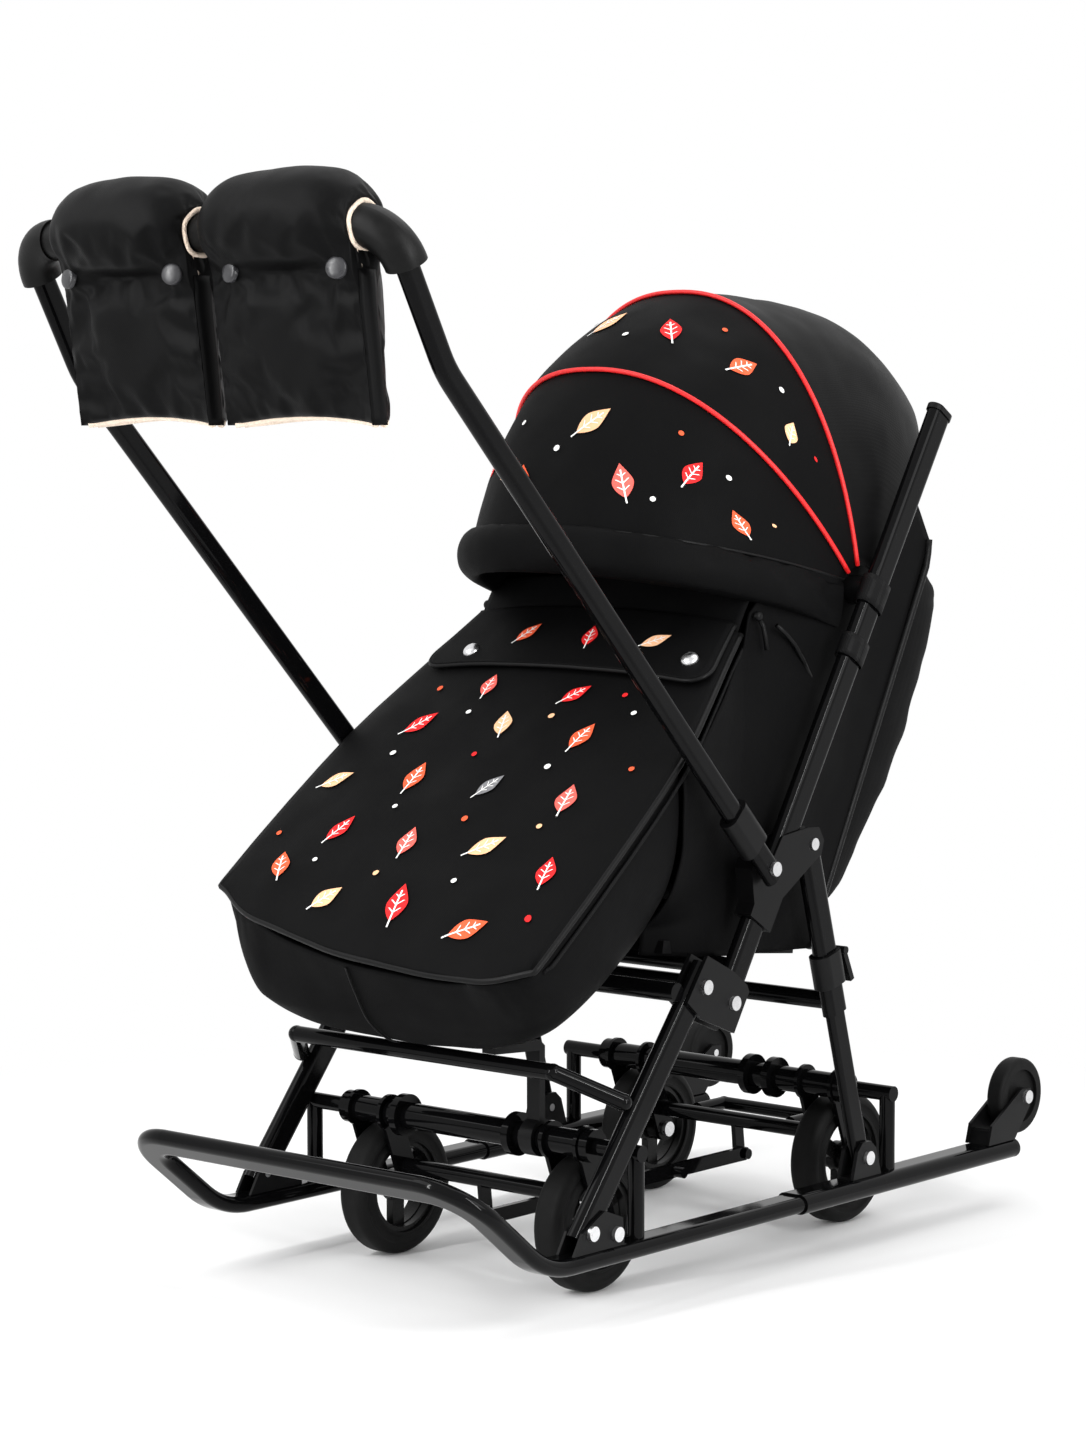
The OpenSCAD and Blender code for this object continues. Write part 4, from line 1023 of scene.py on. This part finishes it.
class Print:
    """Collects flat motifs laid on a curved surface into one mesh."""

    def __init__(self, name, body, place):
        self.name, self.body, self.place = name, body, place
        self.verts, self.faces, self.slots = [], [], []

    def strip(self, centre, turn, line, lift, colour):
        """A ribbon across a line of stations (along, left, right) in mm, turned about a centre."""
        c, s = math.cos(math.radians(turn)), math.sin(math.radians(turn))
        start = len(self.verts)
        across = 5
        for y, left, right in line:
            for x in np.linspace(left, right, across):
                point = self.place(centre[0] + x * c - y * s, centre[1] + x * s + y * c, lift)
                self.verts.append(at(*point))
        faces = grid_faces(len(line), across, start)
        self.faces += faces
        self.slots += [PRINT_NAMES.index(colour)] * len(faces)

    def leaf(self, x, y, size, turn, colour):
        """A pointed leaf with a stem, a middle vein and side veins."""
        def half(v):
            return 0.27 * size * (1 - abs(v) ** 1.6) * (1 - 0.3 * v)

        blade = [(0.5 * size * v, -half(v), half(v)) for v in np.linspace(-1, 1, 17)]
        self.strip((x, y), turn, blade, INK_LIFT, colour)
        vein = 0.022 * size
        stem = [(0.5 * size * v, -vein, vein) for v in np.linspace(-1.3, 0.62, 10)]
        self.strip((x, y), turn, stem, VEIN_LIFT, "white")
        for v in (-0.55, -0.15, 0.25):
            for side in (1, -1):
                base = 0.5 * size * v
                reach = 0.62 * half(v + 0.2)
                twig = [(base + 0.8 * reach * f, side * reach * f - vein, side * reach * f + vein)
                        for f in np.linspace(0, 1, 4)]
                self.strip((x, y), turn, twig, VEIN_LIFT, "white")

    def dot(self, x, y, size, colour):
        """A small round dot."""
        disc = [(-0.5 * size * math.cos(a), -0.5 * size * math.sin(a), 0.5 * size * math.sin(a))
                for a in np.linspace(0.1, math.pi - 0.1, 9)]
        self.strip((x, y), 0, disc, INK_LIFT, colour)

    def build(self):
        """The finished mesh."""
        add_object(self.name, self.verts, self.faces, PRINT_MATERIALS, self.body, face_slots=self.slots)


def lay_print(name, body, place, leaves, dots=()):
    """Lays leaves and dots on a surface as one mesh."""
    motifs = Print(name, body, place)
    for leaf in leaves:
        motifs.leaf(*leaf)
    for dot in dots:
        motifs.dot(*dot)
    motifs.build()


def on_cover(x, s, lift):
    """A point on the face of the leg cover."""
    p = cover_point(x, s, COVER_FACE + 1 + lift)
    p[1:] += COVER_UP * cover_sag(cover_point(x, s, COVER_FACE))
    return p


def on_flap(x, s, lift):
    """A point on the face of the flap."""
    f = (s - FLAP_LOW) / (FLAP_HIGH - FLAP_LOW)
    p = cover_point(x, s, FLAP_LIFT + 0.6 + lift)
    p[1:] += COVER_UP * flap_rise(f, p)
    return p


lay_print("leg_cover_print", UPPER, on_cover, [
    (-150, 80, 42, 20, "coral"), (-62, 48, 40, -35, "peach"), (30, 58, 44, 10, "red"),
    (128, 44, 40, -55, "coral"), (-108, 142, 40, -20, "red"), (-12, 134, 38, 8, "pink"),
    (84, 140, 40, -50, "peach"), (168, 122, 36, 15, "red"), (-168, 214, 38, -60, "peach"),
    (-66, 222, 40, 0, "coral"), (36, 216, 34, -30, "grey"), (132, 212, 40, 12, "pink"),
    (-116, 300, 40, -45, "red"), (-8, 304, 36, 20, "peach"), (96, 296, 38, -10, "coral"),
    (-62, 356, 32, 5, "pink"), (52, 352, 34, -40, "red")], [
    (-190, 130, 7, "coral"), (-110, 94, 6, "white"), (-20, 88, 7, "peach"), (78, 92, 6, "white"),
    (184, 70, 7, "red"), (-60, 178, 6, "white"), (36, 170, 7, "coral"), (126, 172, 6, "peach"),
    (-120, 254, 7, "white"), (-14, 258, 6, "red"), (84, 250, 7, "white"), (176, 262, 6, "coral"),
    (-62, 316, 6, "white"), (44, 318, 7, "peach"), (132, 336, 6, "white"), (-128, 352, 7, "coral"),
    (108, 358, 6, "red")])

lay_print("cover_flap_print", UPPER, on_flap, [
    (-58, 430, 32, -30, "coral"), (24, 428, 32, 15, "red"), (104, 430, 32, -50, "peach")])

lay_print("hood_front_print", "hood_front_body", hood_front.place, [
    (-190, 64, 36, 30, "peach"), (-104, 96, 42, -25, "red"), (-28, 58, 38, 15, "coral"),
    (34, 128, 42, -40, "peach"), (86, 68, 40, 25, "pink"), (150, 104, 38, -15, "red"),
    (214, 64, 40, 40, "coral"), (-150, 138, 34, 10, "grey")], [
    (-232, 104, 7, "coral"), (-62, 130, 6, "white"), (-66, 66, 6, "peach"), (4, 94, 7, "white"),
    (124, 144, 6, "coral"), (186, 122, 7, "white"), (120, 56, 6, "white"), (252, 92, 6, "peach")])

lay_print("hood_mid_print", "hood_mid_body", hood_mid.place, [
    (-120, 84, 40, 20, "coral"), (-36, 92, 42, -30, "peach"), (50, 80, 40, 35, "red"),
    (134, 88, 40, -20, "coral"), (214, 78, 36, 20, "peach"), (-200, 76, 34, -15, "red")], [
    (-78, 118, 6, "white"), (8, 60, 7, "white"), (92, 116, 6, "coral"), (176, 112, 7, "white"),
    (250, 100, 6, "red")])


# Floor, light and camera
def seen_plainly(tree):
    """A factor that is 1 for what the camera sees directly, in a mirror or through glass."""
    path = add_node(tree, "LightPath", {})
    total = path.outputs["Is Camera Ray"]
    for kind in ("Is Glossy Ray", "Is Transmission Ray"):
        total = combine(tree, "MAXIMUM", total, path.outputs[kind])
    return total


FLOOR_HALF = 30
SHADOW_NEAR, SHADOW_FAR = 0.55, 1.25


def add_floor():
    """A white floor that keeps the shadow near the object and is plain white farther off."""
    mesh = bpy.data.meshes.new("floor")
    corners = [(x * FLOOR_HALF, y * FLOOR_HALF, 0) for x, y in ((-1, -1), (1, -1), (1, 1), (-1, 1))]
    mesh.from_pydata(corners, [], [(0, 1, 2, 3)])
    mat, tree, shader = new_material("white_floor")
    set_inputs(shader, {"Base Color": (0.9, 0.9, 0.9, 1), "Roughness": 0.75})
    reach = add_mapped(tree, "VectorMath", {})
    reach.operation = "LENGTH"
    fade = add_node(tree, "MapRange", {"From Min": SHADOW_NEAR, "From Max": SHADOW_FAR})
    fade.interpolation_type = "SMOOTHSTEP"
    tree.links.new(reach.outputs["Value"], fade.inputs["Value"])
    share = combine(tree, "MULTIPLY", fade.outputs["Result"], seen_plainly(tree))
    white = add_node(tree, "Emission", {"Strength": 1.0})
    mix_shaders(tree, share, shader.outputs["BSDF"], white.outputs["Emission"], "Material Output")
    mesh.materials.append(mat)
    floor = bpy.data.objects.new("floor", mesh)
    bpy.context.scene.collection.objects.link(floor)


def add_world():
    """A soft white room that is seen as plain white."""
    world = bpy.data.worlds.new("white_room")
    bpy.context.scene.world = world
    world.use_nodes = True
    tree = world.node_tree
    seen = tree.nodes["Background"]
    set_inputs(seen, {"Color": (1, 1, 1, 1)})
    lit = add_node(tree, "Background", {"Color": (1, 1, 1, 1), "Strength": 0.75})
    mix_shaders(tree, seen_plainly(tree), lit.outputs["Background"], seen.outputs["Background"],
                "World Output")


def add_light(name, place, target, size, power):
    """A soft light of a width and height, aimed at a point."""
    data = bpy.data.lights.new(name, "AREA")
    data.shape = "RECTANGLE"
    data.size, data.size_y = size
    data.energy = power
    obj = bpy.data.objects.new(name, data)
    obj.location = place
    obj.rotation_euler = (Vector(target) - Vector(place)).to_track_quat("-Z", "Y").to_euler()
    bpy.context.scene.collection.objects.link(obj)


CAMERA_TURN, CAMERA_TIP = 40.596, 4.642
CAMERA_PLACE = Vector((2.311, -2.819 + MID_Y / 1000, 0.819))
FOCAL_PX, PICTURE_PX = 3627, 1448
SENSOR = 36


def add_camera():
    """The photograph's camera."""
    turn, tip = math.radians(CAMERA_TURN), math.radians(CAMERA_TIP)
    back = Vector((math.sin(turn) * math.cos(tip), -math.cos(turn) * math.cos(tip), math.sin(tip)))
    right = Vector((math.cos(turn), math.sin(turn), 0))
    up = back.cross(right)
    data = bpy.data.cameras.new("camera")
    data.sensor_width = SENSOR
    data.lens = FOCAL_PX / PICTURE_PX * SENSOR
    cam = bpy.data.objects.new("camera", data)
    cam.matrix_world = Matrix.Translation(CAMERA_PLACE) @ Matrix((right, up, back)).transposed().to_4x4()
    bpy.context.scene.collection.objects.link(cam)
    bpy.context.scene.camera = cam


add_floor()
add_world()
add_light("key_light", (-1.6, -2.6, 3.0), (0, 0, 0.5), (2.2, 2.2), 44)
add_light("side_light", (3.2, 0.6, 2.2), (0, 0, 0.5), (1.6, 1.6), 28)
add_light("top_light", (0.2, 1.0, 3.4), (0, 0, 0.4), (2.4, 2.4), 34)
add_light("front_strip", (-0.4, -3.0, 1.6), (0, 0, 0.6), (0.12, 2.6), 60)
add_light("side_strip", (3.0, -0.6, 1.4), (0, 0, 0.6), (0.12, 2.6), 60)
add_camera()
bpy.context.scene.view_settings.view_transform = "Standard"
